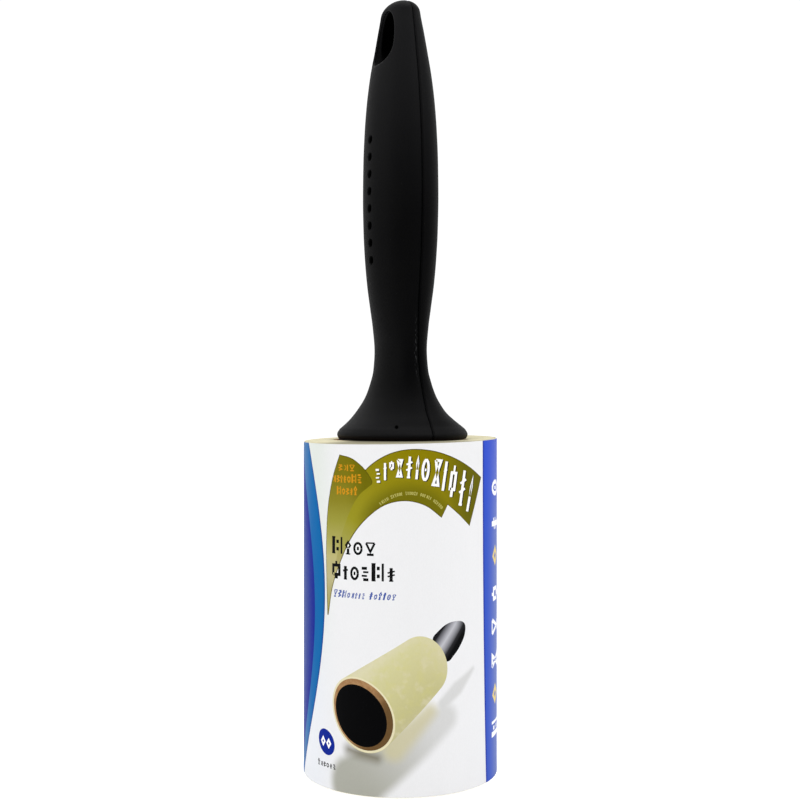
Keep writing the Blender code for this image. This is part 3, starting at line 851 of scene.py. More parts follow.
# ============================================================== printed wrap: front
LOW, HIGH = WRAP_Z0 - 1, WRAP_Z1 + 1  # past the sheet's edges, where the print is clipped
LEFT_S, BAND_S = -54.0, 53.5  # outer edges of the two side panels
NAVY_BOW = (-30.3, 51.5, 170)  # s at the bow's middle, height of the middle, flatness


def bowed_edge(s, middle, flatness):
    return [(s - (z - middle) ** 2 / flatness, z) for z in np.linspace(LOW, HIGH, 34)]


# left: a panel edge bows in towards the front, over light blue and then navy
left_side = [(LEFT_S, HIGH), (LEFT_S, LOW)]
side_edge = bowed_edge(-24.9, 56.8, 198)
ink("sky_dark", [*left_side, *side_edge])
ink("sky_blue", [*left_side, *((s - 0.75, z) for s, z in side_edge)])
ink("navy", [*left_side, *bowed_edge(*NAVY_BOW)])

# right: royal-blue band with a column of marks and two gold diamonds
band_edge = [
    (28.5 + 2.1 * ((HIGH - z) / (HIGH - LOW)) ** 2.3, z) for z in np.linspace(LOW, HIGH, 14)
]
ink("royal", [(BAND_S, HIGH), (BAND_S, LOW), *band_edge])
ink("royal_dark", [(s + 0.8, z) for s, z in reversed(band_edge)] + band_edge)
for z in (66.8, 25.0):
    ink("gold", diamond(38.6, z, 3.2, 3.2))
    ink("royal", diamond(38.6, z, 1.2, 1.2))

# Olive sash across the top, tapering down the left, with a darker leaf over its start.
# All outlines are (s, z).
sash_top = smooth([
    (27.6, 91.0), (22.4, 94.2), (16.0, 97.3), (9.0, 99.4), (2.0, 99.8), (-4.0, 98.1),
    (-9.6, 94.4), (-14.4, 88.4), (-18.6, 80.0), (-21.4, 70.6), (-23.2, 60.0), (-23.8, 51.0),
])
sash_low = smooth([
    (-23.3, 51.0), (-21.6, 59.2), (-18.6, 66.6), (-14.8, 73.8), (-10.2, 79.4), (-4.6, 83.6),
    (1.4, 84.9), (7.2, 83.5), (12.2, 79.9),
])
leaf_right = smooth([
    (-18.9, 98.0), (-14.6, 97.0), (-11.0, 94.5), (-8.7, 91.6), (-8.2, 89.9), (-9.6, 88.6),
    (-12.0, 86.6), (-14.4, 83.2), (-16.6, 78.6), (-19.0, 72.0), (-21.8, 60.0), (-23.5, 50.8),
])
leaf_left = smooth([
    (-23.8, 51.0), (-24.2, 62.0), (-24.3, 73.0), (-23.6, 82.6), (-21.6, 91.2), (-18.9, 98.0),
])
leaf_inner = [(-23.0, 55.0), (-19.0, 75.0), (-14.0, 88.0), (-10.0, 90.6)]
sash_shape = sash_top + sash_low + [(14.2, 83.6), (18.4, 80.3), (22.2, 77.0)]
leaf_shape = leaf_right + leaf_left
ink("sash_edge", sash_shape)
ink("sash", inset(sash_shape, 0.28))
ink("sash_edge", leaf_shape)
ink("leaf", inset(leaf_shape, 0.22))
ink("leaf", [p for p in leaf_right if p[1] < 89.6] + leaf_inner)

# Headline on the sash, growing towards the sash's right end.
# Foot of each sign (s, z), height, width, lean to the right in degrees, and which mark.
HEADLINE = (
    (-6.4, 89.8, 4.6, 2.0, -2, 7), (-4.4, 90.6, 5.5, 1.5, 0, 10), (-2.5, 93.5, 3.1, 1.7, 0, 5),
    (-0.3, 91.4, 5.8, 2.2, 2, 8), (2.3, 91.1, 6.9, 2.5, 4, 0), (4.6, 90.8, 7.2, 1.2, 5, 1),
    (7.0, 90.0, 7.6, 2.9, 5, 9), (10.2, 88.6, 8.7, 2.9, 8, 8), (12.5, 87.3, 9.3, 1.7, 9, 10),
    (15.2, 85.4, 10.0, 2.9, 9, 5), (18.4, 82.7, 11.2, 3.1, 10, 0), (21.1, 80.9, 11.3, 1.4, 14, 1),
)


def headline(name, weight_rate, weight_base, shift_s=0.0, shift_z=0.0):
    """The headline's narrow signs, with line weights that grow with their height."""
    for s, z, height, width, lean, index in HEADLINE:
        weight = weight_rate * height + weight_base
        natural, *lines = MARKS[index]
        c, q = math.cos(math.radians(lean)), math.sin(math.radians(lean))
        for points, thick in lines:
            line = [
                ((x / natural - 0.5) * (width - weight), y * (height - weight) + weight / 2)
                for x, y in points
            ]
            shape = stroke(line, weight * (1.0 if thick > 0.11 else 0.72))
            ink(name, [(s + shift_s + c * x + q * y, z + shift_z - q * x + c * y) for x, y in shape])


headline("leaf_dark", weight_rate=0.054, weight_base=0.5, shift_s=0.28, shift_z=-0.18)
headline("white_ink", weight_rate=0.05, weight_base=0.36)


def arc_place(s, z, radius, degrees):
    """Places points standing on an arc, degrees clockwise from straight up."""
    turn = math.radians(90 - degrees)
    foot_s, foot_z = s + radius * math.cos(turn), z + radius * math.sin(turn)
    c, q = math.cos(math.radians(-degrees)), math.sin(math.radians(-degrees))
    return lambda x, y: (foot_s + c * x - q * y, foot_z + q * x + c * y)


for k in range(34):  # small line along the sash's lower edge; each seventh place is a space
    if k % 7 != 5:
        place = arc_place(2.6, 74.2, radius=12.5, degrees=-41 + 2.75 * k)
        mark("sash_pale", k * 3 + 1, 0.9, place, squeeze=0.8, bold=1.6)

line_of_marks("orange", -19.4, -13.2, 93.3, 2.0, (6, 4, 3), bold=1.3, small=0.9)
line_of_marks(
    "orange", -21.4, -11.1, 89.9, 2.5, (4, 6, 1, 0, 5, 2, 7), tall=(5, 6), bold=1.3, small=0.8
)
line_of_marks("orange", -19.9, -12.6, 86.4, 2.4, (2, 5, 6, 0, 1), tall=(0, 4), bold=1.3, small=0.8)
line_of_marks("black_ink", -21.8, -6.4, 69.2, 4.9, (2, 1, 9, 3), tall=(0,), bold=1.45)
line_of_marks("black_ink", -21.8, -0.7, 61.9, 5.1, (5, 10, 9, 7, 2, 0), tall=(0, 4), bold=1.45)
line_of_marks(
    "blue_ink", -21.3, -1.1, 56.6, 2.1, (3, 6, 2, 5, 4, 1, 10, 7, None, 0, 5, 1, 10, 9, 3),
    tall=(0, 1, 2, 9, 11, 12), slant=0.25, gap=0.3, bold=1.5,
)

# marks on the royal band, turned to read up it: mark, height
for index, height in ((9, 87.6), (0, 77.2), (5, 55.8), (3, 45.8), (8, 35.6), (2, 15.0)):
    place = lambda x, y: (42.4 - y, height - 2.6 + x)
    mark("white_ink", index, 7.4, place, squeeze=0.85, bold=1.35)

# badge, low on the left: two diamonds in an oval, over a short line
ink("badge", oval(-24.4, 13.6, 3.65, 3.75, -10))
for aside in (-1.35, 1.15):
    s, z = -24.4 + aside, 13.5 - 0.12 * aside
    ink("white_ink", diamond(s, z, 1.1, 1.6))
    ink("badge", diamond(s, z, 0.35, 0.5))
line_of_marks(
    "dark_ink", -28.4, -20.0, 6.2, 1.8, (1, 4, 6, 5, 0, 7), tall=(0,), gap=0.2, bold=1.7
)

# picture of the roller lying on its side, seen from the roll's free end
END, FAR, TILT = (-11.5, 23.3), (6.6, 37.7), -13.0  # the roll's near and far ends, shear
ink("tip", smooth([
    (9.4, 45.0), (11.2, 47.4), (13.8, 49.2), (16.6, 49.8), (19.3, 49.5), (20.5, 48.0),
    (20.1, 45.2), (18.3, 42.2), (16.2, 39.9), (14.2, 38.4), (11.0, 40.0),
], closed=True, per=4))
ink("roll_cream", hull(oval(*END, 10.1, 10.8, TILT, 60) + oval(*FAR, 7.5, 8.5, TILT + 4, 60)))
ink("roll_rim", oval(*END, 10.05, 10.75, TILT, 56))
ink("roll_brown", oval(END[0] - 0.05, END[1] + 0.05, 9.5, 10.15, TILT, 56))
ink("roll_black", oval(END[0] - 0.6, END[1] - 0.3, 8.25, 8.85, TILT, 52))

# ============================================================== printed wrap: back
BACK0, BACK1 = -120.0, -60.0
ink("royal", rounded(BACK0, 88.0, BACK1, 96.5, 1.6))
line_of_marks(
    "white_ink", BACK0 + 4, BACK1 - 16, 90.3, 4.0, (0, 4, 2, 5, None, 3, 6, 1, 7, 4),
    tall=(0, 5), bold=1.1,
)
for k in range(3):  # framed pictures of the roller, each over a short line
    s = BACK0 + 1.5 + 20.2 * k
    middle = s + 8.2
    ink("sky_blue", rounded(s, 66.0, s + 16.5, 83.0, 1.8))
    ink("white_ink", rounded(s + 0.7, 66.7, s + 15.8, 82.3, 1.3))
    ink("roll_cream", rounded(middle - 4.6, 69.0, middle + 2.6, 76.0, 1.2))
    ink("roll_black", rounded(middle + 2.6, 71.6, middle + 6.2, 73.4, 0.8))
    if k == 1:  # an arrow
        ink("sky_blue", rounded(middle - 4.6, 77.2, middle + 1.2, 78.2, 0.4))
        ink("sky_blue", [(middle + 1.2, 76.2), (middle + 3.6, 77.7), (middle + 1.2, 79.2)])
    if k == 2:  # a flap of sheet
        flap = ((-4.6, 76.0), (-1.5, 76.0), (-0.2, 80.6), (-5.4, 80.6))
        ink("roll_rim", [(middle + aside, z) for aside, z in flap])
    greeked(s + 1.6, s + 15, 63.0, 1.3, (1.6, 1.1, 2.2), gap=0.5)
for k in range(9):  # two paragraphs, their last lines short
    widths, length = [], 0.0
    while length < (34 if k in (3, 8) else 52):
        widths.append(rng.uniform(2.0, 6.5))
        length += widths[-1] + 1.1
    greeked(BACK0 + 1, BACK0 + 1 + length, 57.2 - 3.1 * k, 1.75, widths, gap=1.1)
ink("white_ink", rect(-86.0, 5.0, -62.0, 25.0))
s = -85.0
while s < -63.4:  # block of upright bars
    width = rng.choice((0.35, 0.35, 0.7, 1.05))
    ink("black_ink", rect(s, 7.0, min(s + width, -63.2), 23.5))
    s += width + rng.choice((0.4, 0.4, 0.8))
ink("badge", oval(-110.5, 15.6, 6.2, 6.2))
ink("white_ink", oval(-110.5, 15.6, 5.3, 5.3))
ink("roll_cream", rounded(-113.9, 12.6, -108.6, 17.6, 0.9))
ink("roll_black", rounded(-108.6, 14.5, -106.4, 15.7, 0.5))
greeked(-102.0, -91.0, 18.4, 1.5, (2.0, 3.1, 1.4), gap=0.6)
greeked(-102.0, -90.0, 15.2, 1.5, (1.2, 2.6, 2.4), gap=0.6)
greeked(-102.0, -94.0, 12.0, 1.5, (2.2, 1.8), gap=0.6)


# ============================================================== printed wrap: inks
def limb(s, near, far, other):
    """Rises from near to far going round, then falls back by the time it reaches other. Used as the
    mask for painted shade and sheen towards the wrap's left edge as seen from the front.
    """
    return s.rise(near, far) * s.fall(far, other)


def paper_white(n, flat):
    """Bare paper, with painted shade towards the wrap's left edge as seen from the front, and the
    soft shadows printed under the pictured roller.
    """
    s, z, _ = flat.xyz()
    # painted shade: the paper turns greyer, and greener higher up, towards the wrap's left edge as
    # seen from the front, then white again round the back
    side = n.mix(z.rise(24, 64), rgb(226, 228, 232), rgb(218, 223, 217))
    white = n.mix(limb(s, -18.0, -30.0, -46.0), rgb(230, 230, 231), side)
    down_right = flat.dot((0.736, 0.678, 0)).rise(-8.0, 24.0)
    grey = n.mix(down_right, rgb(168, 168, 158), rgb(206, 206, 205))
    shadow = n.capsule(flat, (-13.7, 3.3), (13.2, 22.2), radii=(8.1, 4.0), soft=1.9)
    base = n.mix(shadow, white, grey)
    # warm light under the roll, and the dark patch where it touches
    glow = n.capsule(flat, (-1.8, 14.0), (8.4, 24.4), radii=(3.4, 2.2), soft=2.1)
    base = n.mix(glow * 0.78, base, rgb(197, 190, 150))
    contact = n.capsule(flat, (-15.6, 12.9), (-6.8, 11.2), radii=(1.1, 0.9), soft=2.3)
    base = n.mix(contact * 0.92, base, rgb(104, 98, 74))
    # bent shadow at the far end
    outer = n.capsule(flat, (17.6, 30.4), (23.6, 35.2), radii=(2.0, 0.5), soft=0.9)
    inner = n.capsule(flat, (17.6, 30.4), (12.6, 26.4), radii=(2.0, 1.5), soft=0.9)
    return n.mix(outer.maximum(inner) * 0.9, base, rgb(205, 205, 204))


def sky(n, flat):
    s, _, _ = flat.xyz()
    # painted sheen: paler towards the wrap's left edge as seen from the front, blue again further
    # round
    return n.mix(limb(s, -31.5, -41.0, -50.0) * 0.9, rgb(2, 98, 163), rgb(66, 114, 164))


def navy(n, flat):
    """Painted light: paler inwards from the panel's bowed edge, the paleness easing back towards
    deep navy round the side, past the part seen from the front.
    """
    s, z, _ = flat.xyz()
    bow_s, middle, flatness = NAVY_BOW
    inward = (bow_s - (z - middle) ** 2.0 / flatness) - s
    pale = inward.rise(0.3, 9.0) * s.ease(-43.0, -51.0, to_start=1.0, to_end=0.35)
    return n.mix(pale, rgb(2, 30, 138), rgb(40, 64, 140))


def royal(n, flat):
    s, z, _ = flat.xyz()
    # painted sheen: paler towards the wrap's right edge as seen from the front, fading back further
    # round
    pale = s.rise(30.0, 40.0) * s.ease(43.0, 51.0, to_start=1.0, to_end=0.3)
    across = n.mix(pale, rgb(50, 82, 190), rgb(94, 114, 184))
    return n.mix(z.ease(66, 100, to_start=0.0, to_end=0.5), across, rgb(50, 76, 206))


def sash(n, flat):
    """Olive, darker at the sash's right end and round the inside of its curve."""
    s, z, _ = flat.xyz()
    colour = n.ramp(
        (s.mul_add(0.55, z) - 38.0) / 62.0,
        (0.0, 168, 162, 98), (0.16, 190, 183, 134), (0.3, 168, 159, 100), (0.42, 156, 152, 72),
        (0.54, 147, 141, 34), (0.8, 140, 130, 16), (1.0, 132, 120, 3),
    )
    from_centre = flat.stretched(1, 1, 0).vector("DISTANCE", (2.6, 74.0, 0.0))
    inner = from_centre.ease(12.5, 18.0, to_start=0.75, to_end=0.0) * z.rise(74, 82)
    right = s.rise(9, 23) * 0.95
    return n.mix(inner.maximum(right), colour, rgb(96, 92, 10))


def leaf_green(n, flat):
    s, z, _ = flat.xyz()
    colour = n.ramp(
        (z - 50.0) / 48.0,
        (0.08, 158, 152, 84), (0.25, 182, 175, 132), (0.38, 182, 174, 116), (0.47, 168, 162, 90),
        (0.6, 150, 146, 58), (0.72, 134, 126, 34), (0.88, 120, 112, 16), (1.0, 116, 108, 10),
    )
    tip = s.rise(-17, -10) * z.rise(80, 88)
    return n.mix(tip * 0.8, colour, rgb(102, 97, 2))


def roll_cream(n, flat):
    """The pictured roll: shaded across, paler at its far end, with two mottles."""
    s, z, _ = flat.xyz()
    colour = n.ramp(
        (z * 0.78 - s * 0.62 - 13.5) / 24.5,
        (0.0, 184, 178, 140), (0.18, 189, 184, 132), (0.5, 198, 193, 143),
        (0.72, 203, 199, 149), (0.86, 211, 206, 171), (1.0, 206, 200, 174),
    )
    far = flat.dot((0.78, 0.62, 0.0)).ease(26.0, 38.5, to_start=0.0, to_end=0.6)
    colour = n.mix(far, colour, rgb(212, 205, 172))
    yellow = flat.noise(scale=0.42, detail=3.0, rough=0.55)
    colour = n.mix(yellow.ease(0.42, 0.75, to_start=0.0, to_end=0.3), colour, rgb(202, 197, 122))
    pale = flat.vector("ADD", (31, 7, 0)).noise(scale=0.3, detail=3.0)
    return n.mix(pale.ease(0.5, 0.72, to_start=0.0, to_end=0.4), colour, rgb(212, 205, 176))


def tip_black(n, flat):
    """The pictured grip: black with a bright streak along it, fading towards its end."""
    s, z, _ = flat.xyz()
    colour = n.ramp(
        (z * 0.60 - s * 0.80 - 12.2) / 9.0,
        (0.0, 8, 8, 9), (0.13, 40, 40, 42), (0.27, 138, 138, 144), (0.42, 186, 186, 192),
        (0.60, 122, 122, 128), (0.72, 30, 30, 33), (0.88, 6, 6, 8), (1.0, 4, 4, 5),
    )
    end = flat.dot((0.80, 0.60, 0.0)).ease(42.5, 46.5, to_start=0.0, to_end=0.7)
    return n.mix(end, colour, rgb(22, 22, 24))


def brown_card(n, flat):
    s, z, _ = flat.xyz()
    speckle = flat.noise(scale=0.8, detail=3.0).rise(0.3, 0.7)
    light = n.mix(speckle, rgb(150, 112, 74), rgb(170, 132, 92))
    lower = (s - z * 0.55).rise(-26.0, -17.0)
    return n.mix(lower * 0.92, light, rgb(92, 68, 38))


def printed(name, look):
    """Ink on coated paper: a plain 8-bit colour, or a function of the unrolled position."""

    def build(n):
        if isinstance(look, tuple):
            colour = n.mix(0.0, rgb(*look), rgb(*look))
        else:
            colour = look(n, n.flat())
        p = n.place()
        fibre = p.stretched(1.4, 1.4, 0.6).noise(scale=2.2, detail=4.0, rough=0.6)
        tone = fibre.ease(0.2, 0.8, to_start=0.965, to_end=1.0)
        wave = p.stretched(0.16, 0.16, 0.035).noise(scale=1.0)
        soft = n.bump(wave, distance=0.00035, strength=0.35)
        n.surface({
            "Base Color": n.mix(1.0, colour, n.join(tone, tone, tone), "MULTIPLY"),
            "Roughness": fibre.ease(0.2, 0.8, to_start=0.37, to_end=0.5),
            "Specular IOR Level": 0.03,
            "Normal": n.bump(fibre, distance=0.00002, strength=0.25, normal=soft),
        })

    return material("print_" + name, build, (0.8, 0.8, 0.8))


INK_LOOKS = {
    "paper": paper_white,
    "sky_blue": sky,
    "sky_dark": (14, 80, 146),
    "navy": navy,
    "royal": royal,
    "royal_dark": (28, 54, 158),
    "gold": (222, 200, 124),
    "white_ink": (246, 246, 246),
    "leaf": leaf_green,
    "sash": sash,
    "leaf_dark": (46, 40, 22),
    "sash_edge": (88, 80, 10),
    "sash_pale": (178, 172, 92),
    "orange": (206, 140, 26),
    "black_ink": (14, 14, 15),
    "dark_ink": (52, 52, 54),
    "blue_ink": (66, 88, 158),
    "badge": (8, 36, 140),
    "grey_ink": (84, 84, 92),
    "tip": tip_black,
    "roll_cream": roll_cream,
    "roll_rim": (222, 214, 178),
    "roll_brown": brown_card,
    "roll_black": (1, 1, 2),
}
INKS = [printed(name, look) for name, look in INK_LOOKS.items()]
INK_INDEX = {name: k for k, name in enumerate(INK_LOOKS)}


# ============================================================== printed wrap: sheet
SHEET_THICK = 0.22


def clipped(polygon):
    """Sutherland-Hodgman clip of a polygon to the wrap's sheet."""
    out = polygon
    edges = (
        (0, S0 + 0.01, 1), (0, S1 - 0.01, -1), (1, WRAP_Z0 + 0.001, 1), (1, WRAP_Z1 - 0.001, -1),
    )
    for axis, limit, keep in edges:
        source, out = out, []
        for k, q in enumerate(source):
            p = source[k - 1]
            p_in, q_in = keep * (p[axis] - limit), keep * (q[axis] - limit)
            if p_in * q_in < 0:
                t = p_in / (p_in - q_in)
                out.append((p[0] + t * (q[0] - p[0]), p[1] + t * (q[1] - p[1])))
            if q_in >= 0:
                out.append(q)
    return out


def divided(polygon):
    """The polygon with its edges cut into steps short enough to bend round the roll."""
    out = []
    for k, q in enumerate(polygon):
        p = polygon[k - 1]
        parts = max(1, math.ceil(abs(q[0] - p[0]) / 1.25))
        out += [
            (p[0] + (q[0] - p[0]) * i / parts, p[1] + (q[1] - p[1]) * i / parts)
            for i in range(parts)
        ]
    return out


def rolled(s, z, depth=0.0):
    """Points and outward normals at (s, z), a depth below the sheet's outer face."""
    # the glued end rises over the start of the sheet
    t = np.clip((s - (S1 - OVERLAP - 5.0)) / 5.0, 0, 1)
    radius = WRAP_R + 0.16 * t * t * (3 - 2 * t) - depth
    turn = s / WRAP_R
    out = np.cos(turn)[:, None] * FRONT + np.sin(turn)[:, None] * RIGHT
    points = out * radius[:, None]
    points[:, 2] = z
    return points, out


def make_wrap():
    kept = [(name, clipped(polygon)) for name, polygon in prints]
    kept = [(name, polygon) for name, polygon in kept if len(polygon) > 2]
    loops = [divided(rect(S0, WRAP_Z0, S1, WRAP_Z1)), *(divided(polygon) for _, polygon in kept)]
    columns = np.linspace(S0, S1, 150)[1:-1]
    rows = np.linspace(WRAP_Z0, WRAP_Z1, 32)[1:-1]
    flat, faces, _ = triangulate([(s, z) for s in columns for z in rows], loops)
    middles = flat[faces].mean(1)
    inks = np.full(len(faces), INK_INDEX["paper"])
    for name, polygon in kept:
        inks[inside(middles, polygon)] = INK_INDEX[name]

    outer, normals = rolled(flat[:, 0], flat[:, 1])
    wrong = (face_crosses(outer, faces) * normals[faces[:, 0]]).sum(1) < 0
    faces[wrong] = faces[wrong][:, ::-1]
    sheet = Surface(outer, normals, flat, faces)

    def strip(first, second, strip_normals):
        """Bare quads between two rows of points, one normal per pair."""
        base = len(sheet.verts)
        for p, q, normal in zip(first, second, strip_normals):
            sheet.point(p, normal, (0.0, 60.0))
            sheet.point(q, normal, (0.0, 60.0))
        for k in range(len(first) - 1):
            i = base + 2 * k
            sheet.face([i, i + 1, i + 3, i + 2], strip_normals[k])

    s = np.linspace(S0, S1, 200)
    for z, up in ((WRAP_Z1, 1.0), (WRAP_Z0, -1.0)):
        strip(rolled(s, z)[0], rolled(s, z, SHEET_THICK)[0], [np.array([0, 0, up])] * len(s))
    low, out = rolled(s, WRAP_Z0, SHEET_THICK)
    strip(low, rolled(s, WRAP_Z1, SHEET_THICK)[0], -out)
    heights = np.array([WRAP_Z0, WRAP_Z1])
    for end, sign in ((S1, 1.0), (S0, -1.0)):
        ends = np.array([end, end])
        tangent = sign * (math.cos(end / WRAP_R) * RIGHT - math.sin(end / WRAP_R) * FRONT)
        strip(rolled(ends, heights)[0], rolled(ends, heights, SHEET_THICK)[0], [tangent, tangent])
    bare = [INK_INDEX["paper"]] * (len(sheet.faces) - len(inks))
    return build_mesh(
        "printed_wrap", sheet.verts, sheet.faces, INKS, [*inks, *bare], sheet.uv, sheet.normals
    )


wrap = make_wrap()
fit(wrap, "refill", "label_wrap")


# ============================================================== turned shapes
def shade(obj, angle):
    """Smooth shading, with edges sharper than an angle in degrees kept."""
    obj.data.shade_smooth()
    obj.data.set_sharp_from_angle(angle=math.radians(angle))


def turned_piece(name, profile, mat, steps, start=0.0, sweep=360.0, smooth_angle=40.0):
    """Spins a closed (radius, height) outline round Z."""
    full = abs(sweep - 360.0) < 1e-6
    count = steps if full else steps + 1
    angles = [math.radians(start + sweep * k / steps) for k in range(count)]
    n = len(profile)
    verts = [(r * math.cos(a), r * math.sin(a), z) for a in angles for r, z in profile]
    faces = []
    for k in range(steps):
        j = (k + 1) % count
        for i in range(n):
            after = (i + 1) % n
            faces.append((k * n + i, j * n + i, j * n + after, k * n + after))
    if not full:
        faces += [tuple(range(n)), tuple(reversed(range((count - 1) * n, count * n)))]
    obj = build_mesh(name, verts, faces, [mat])
    bm = bmesh.new()
    bm.from_mesh(obj.data)
    bmesh.ops.remove_doubles(bm, verts=bm.verts, dist=1e-7)
    bmesh.ops.recalc_face_normals(bm, faces=bm.faces)
    bm.to_mesh(obj.data)
    bm.free()
    shade(obj, smooth_angle)
    return obj


def soft_corner(points, radius, steps=4):
    """Rounds the corners of a closed outline: radius is one number, or one per corner."""
    out = []
    count = len(points)
    for k in range(count):
        r = radius[k] if hasattr(radius, "__len__") else radius
        p, before, after = (np.array(points[i % count], float) for i in (k, k - 1, k + 1))
        if r <= 0:
            out.append(tuple(p))
            continue
        size0, size1 = np.linalg.norm(before - p), np.linalg.norm(after - p)
        way0, way1 = (before - p) / size0, (after - p) / size1
        half = math.acos(np.clip(way0 @ way1, -1, 1)) / 2
        reach = min(r / math.tan(half), size0 * 0.49, size1 * 0.49)
        q0, q1 = p + way0 * reach, p + way1 * reach
        for i in range(steps + 1):
            t = i / steps
            out.append(tuple((1 - t) ** 2 * q0 + 2 * t * (1 - t) * p + t * t * q1))
    return out


# ============================================================== refill and hub materials
def wound_tape(n):
    """Cream coated paper: faint wound layers on the cut ends, soft sheen on the outside."""
    p = n.place()
    x, y, z = p.xyz()
    r = n.join(x, y, 0.0).length()
    around = y.arctan2(x)
    spiral = around.mul_add(0.024, r)  # moves outwards with each turn
    layer = n.join(spiral * 5.2, 0.0, 0.0).noise(scale=1.0, rough=0.65)
    fine = n.join(spiral * 17.0, around * 0.6, 0.0).noise(scale=1.0, detail=1.0)
    broad = n.join(spiral * 0.9, around * 0.25, 0.0).noise(scale=1.0)
    end = abs(z - 50.8).rise(49.95, 50.15)
    cut = n.ramp(
        layer * 0.55 + (fine * 0.25 + broad * 0.2),
        (0.25, 202, 192, 150), (0.45, 224, 216, 178), (0.62, 232, 226, 194), (0.8, 214, 204, 164),
    )
    cloud = p.noise(scale=0.3, detail=4.0, rough=0.6)
    face = n.mix(cloud, rgb(226, 219, 166), rgb(236, 230, 184))
    # soft contact shadow round the grip's rim, deeper on the viewer's side
    ahead = (p.dot(FRONT) / r).rise(0.5, 0.85)
    deep = ahead * r.ease(19.5, 30.0, to_start=0.84, to_end=0.5)
    shadow = r.ease(19.5, 24.0, to_start=0.3, to_end=0.0).maximum(deep)
    cut = n.mix(shadow * z.rise(99.0, 100.0), cut, rgb(30, 26, 18))
    height = n.mix(end, p.noise(scale=3.0, detail=3.0), layer + fine * 0.5)
    n.surface({
        "Base Color": n.mix(end, face, cut),
        "Roughness": end.mul_add(0.3, 0.42),
        "Specular IOR Level": 0.3,
        "Normal": n.bump(height, distance=0.00008, strength=0.5),
    })


def cardboard(n):
    """Brown spiral-wound board with its helical joints and fibres."""
    p = n.place()
    x, y, z = p.xyz()
    helix = (z / 62.0 + y.arctan2(x) / math.tau).fract()
    seam = abs(helix - 0.5).fall(0.0, 0.012)
    fibre = p.stretched(1.0, 1.0, 3.0).noise(scale=1.6, detail=5.0, rough=0.65)
    speck = p.noise(scale=5.0, rough=0.7).rise(0.58, 0.72)
    colour = n.ramp(fibre, (0.2, 150, 108, 70), (0.5, 178, 136, 94), (0.8, 196, 158, 116))
    colour = n.mix(speck * 0.35, colour, rgb(110, 76, 46))
    n.surface({
        "Base Color": n.mix(seam * 0.6, colour, rgb(104, 72, 44)),
        "Roughness": 0.86,
        "Specular IOR Level": 0.25,
        "Normal": n.bump(fibre - seam * 0.8, distance=0.00012, strength=0.6),
    })


def moulded(dark, light, rough, speck=0.0, gloss=0.35):
    """Moulded plastic flowing between two 8-bit colours; speck is the strength of pale specks."""

    def build(n):
        p = n.place()
        grain = p.noise(scale=4.0, detail=3.0, rough=0.6)
        flow = p.stretched(0.3, 0.3, 0.06).noise(scale=1.0, detail=3.0, rough=0.55)
        colour = n.mix(flow, rgb(*dark), rgb(*light))
        if speck:
            cells = n.new("ShaderNodeTexVoronoi", {"Vector": p, "Scale": 0.35}, out="Distance")
            colour = n.mix(cells.fall(0.03, 0.06) * speck, colour, rgb(150, 148, 140))
        edge = n.new("ShaderNodeBevel", {"Radius": 0.00025}, samples=6)
        n.surface({
            "Base Color": colour,
            "Roughness": grain.ease(0.25, 0.8, to_start=rough - 0.06, to_end=rough + 0.1),
            "Specular IOR Level": gloss,
            "Normal": n.bump(grain, distance=0.00004, strength=0.4, normal=edge),
        })

    return build


def spring_steel(n):
    x, y, z = n.place().xyz()
    radius = n.join(x, y, 0.0).length()
    lines = n.join(radius * 9.0, z * 12.0, 0.0).noise(scale=1.0, detail=3.0)
    n.surface({
        "Base Color": n.mix(lines, rgb(150, 150, 154), rgb(196, 196, 200)),
        "Metallic": 1.0,
        "Roughness": lines.ease(0.2, 0.8, to_start=0.24, to_end=0.42),
        "Normal": n.bump(lines, distance=0.00003, strength=0.4),
    })


hub_look = moulded((4, 4, 5), (9, 9, 10), rough=0.44, speck=0.05, gloss=0.1)
cap_look = moulded((8, 8, 9), (15, 15, 16), rough=0.46, gloss=0.2)
spindle_look = moulded((58, 58, 61), (72, 72, 76), rough=0.42)
bearing_look = moulded((214, 210, 198), (226, 223, 212), rough=0.34)
TAPE = material("wound_tape_cream", wound_tape, (0.8, 0.75, 0.5))
CARD = material("spiral_cardboard", cardboard, (0.4, 0.25, 0.13))
HUB = material("hub_black_plastic", hub_look, (0.02, 0.02, 0.02))
CAP = material("cap_black_plastic", cap_look, (0.02, 0.02, 0.02))
SPINDLE = material("spindle_grey_plastic", spindle_look, (0.06, 0.06, 0.06))
BEARING = material("bearing_natural_plastic", bearing_look, (0.7, 0.7, 0.65))
STEEL = material("ring_spring_steel", spring_steel, (0.5, 0.5, 0.5))


# ============================================================== wound roll, sheet and core
def wound_roll():
    """The wound tape, its ends slightly stepped where single turns stand proud."""
    inner, outer = CORE_R + 0.12, WRAP_R - 0.62
    count = 58
    steps = random.Random(5)
    top, bottom = [], []
    level = 0.0
    for k in range(count + 1):
        r = inner + (outer - inner) * k / count
        level = 0.72 * level + steps.uniform(-0.05, 0.05)
        if k in (9, 23, 24, 41):
            level += steps.uniform(0.03, 0.09)
        edge = 0.12 if k in (0, count) else 0.0
        foot = 0.0 if k == count // 2 else max(0.0, -level * 0.4) + edge
        top.append((r, ROLL_Z1 + min(0.14, level) - edge))
        bottom.append((r, foot))
    return turned_piece("wound_tape_roll", bottom + top[::-1], TAPE, 160, smooth_angle=60)


def tube_profile(inner, outer):
    return [(inner, 0.0), (outer, 0.0), (outer, ROLL_Z1), (inner, ROLL_Z1)]


def lean_top(obj, low, high):
    """The outer turns have slid, so the roll's top leans. Fades out from high down to low."""
    for v in obj.data.vertices:
        r = math.hypot(v.co.x, v.co.y) / MM
        upper = min(1.0, max(0.0, (v.co.z / MM - low) / (high - low)))
        weight = upper * min(1.0, max(0.0, (r - 20.8) / (WRAP_R - 20.8)))
        if weight > 0:
            aside = (v.co.x * RIGHT[0] + v.co.y * RIGHT[1]) / MM / r
            ahead = (v.co.x * FRONT[0] + v.co.y * FRONT[1]) / MM / r
            v.co.z += weight * (0.52 * aside - 0.38 * ahead + 0.15) * MM


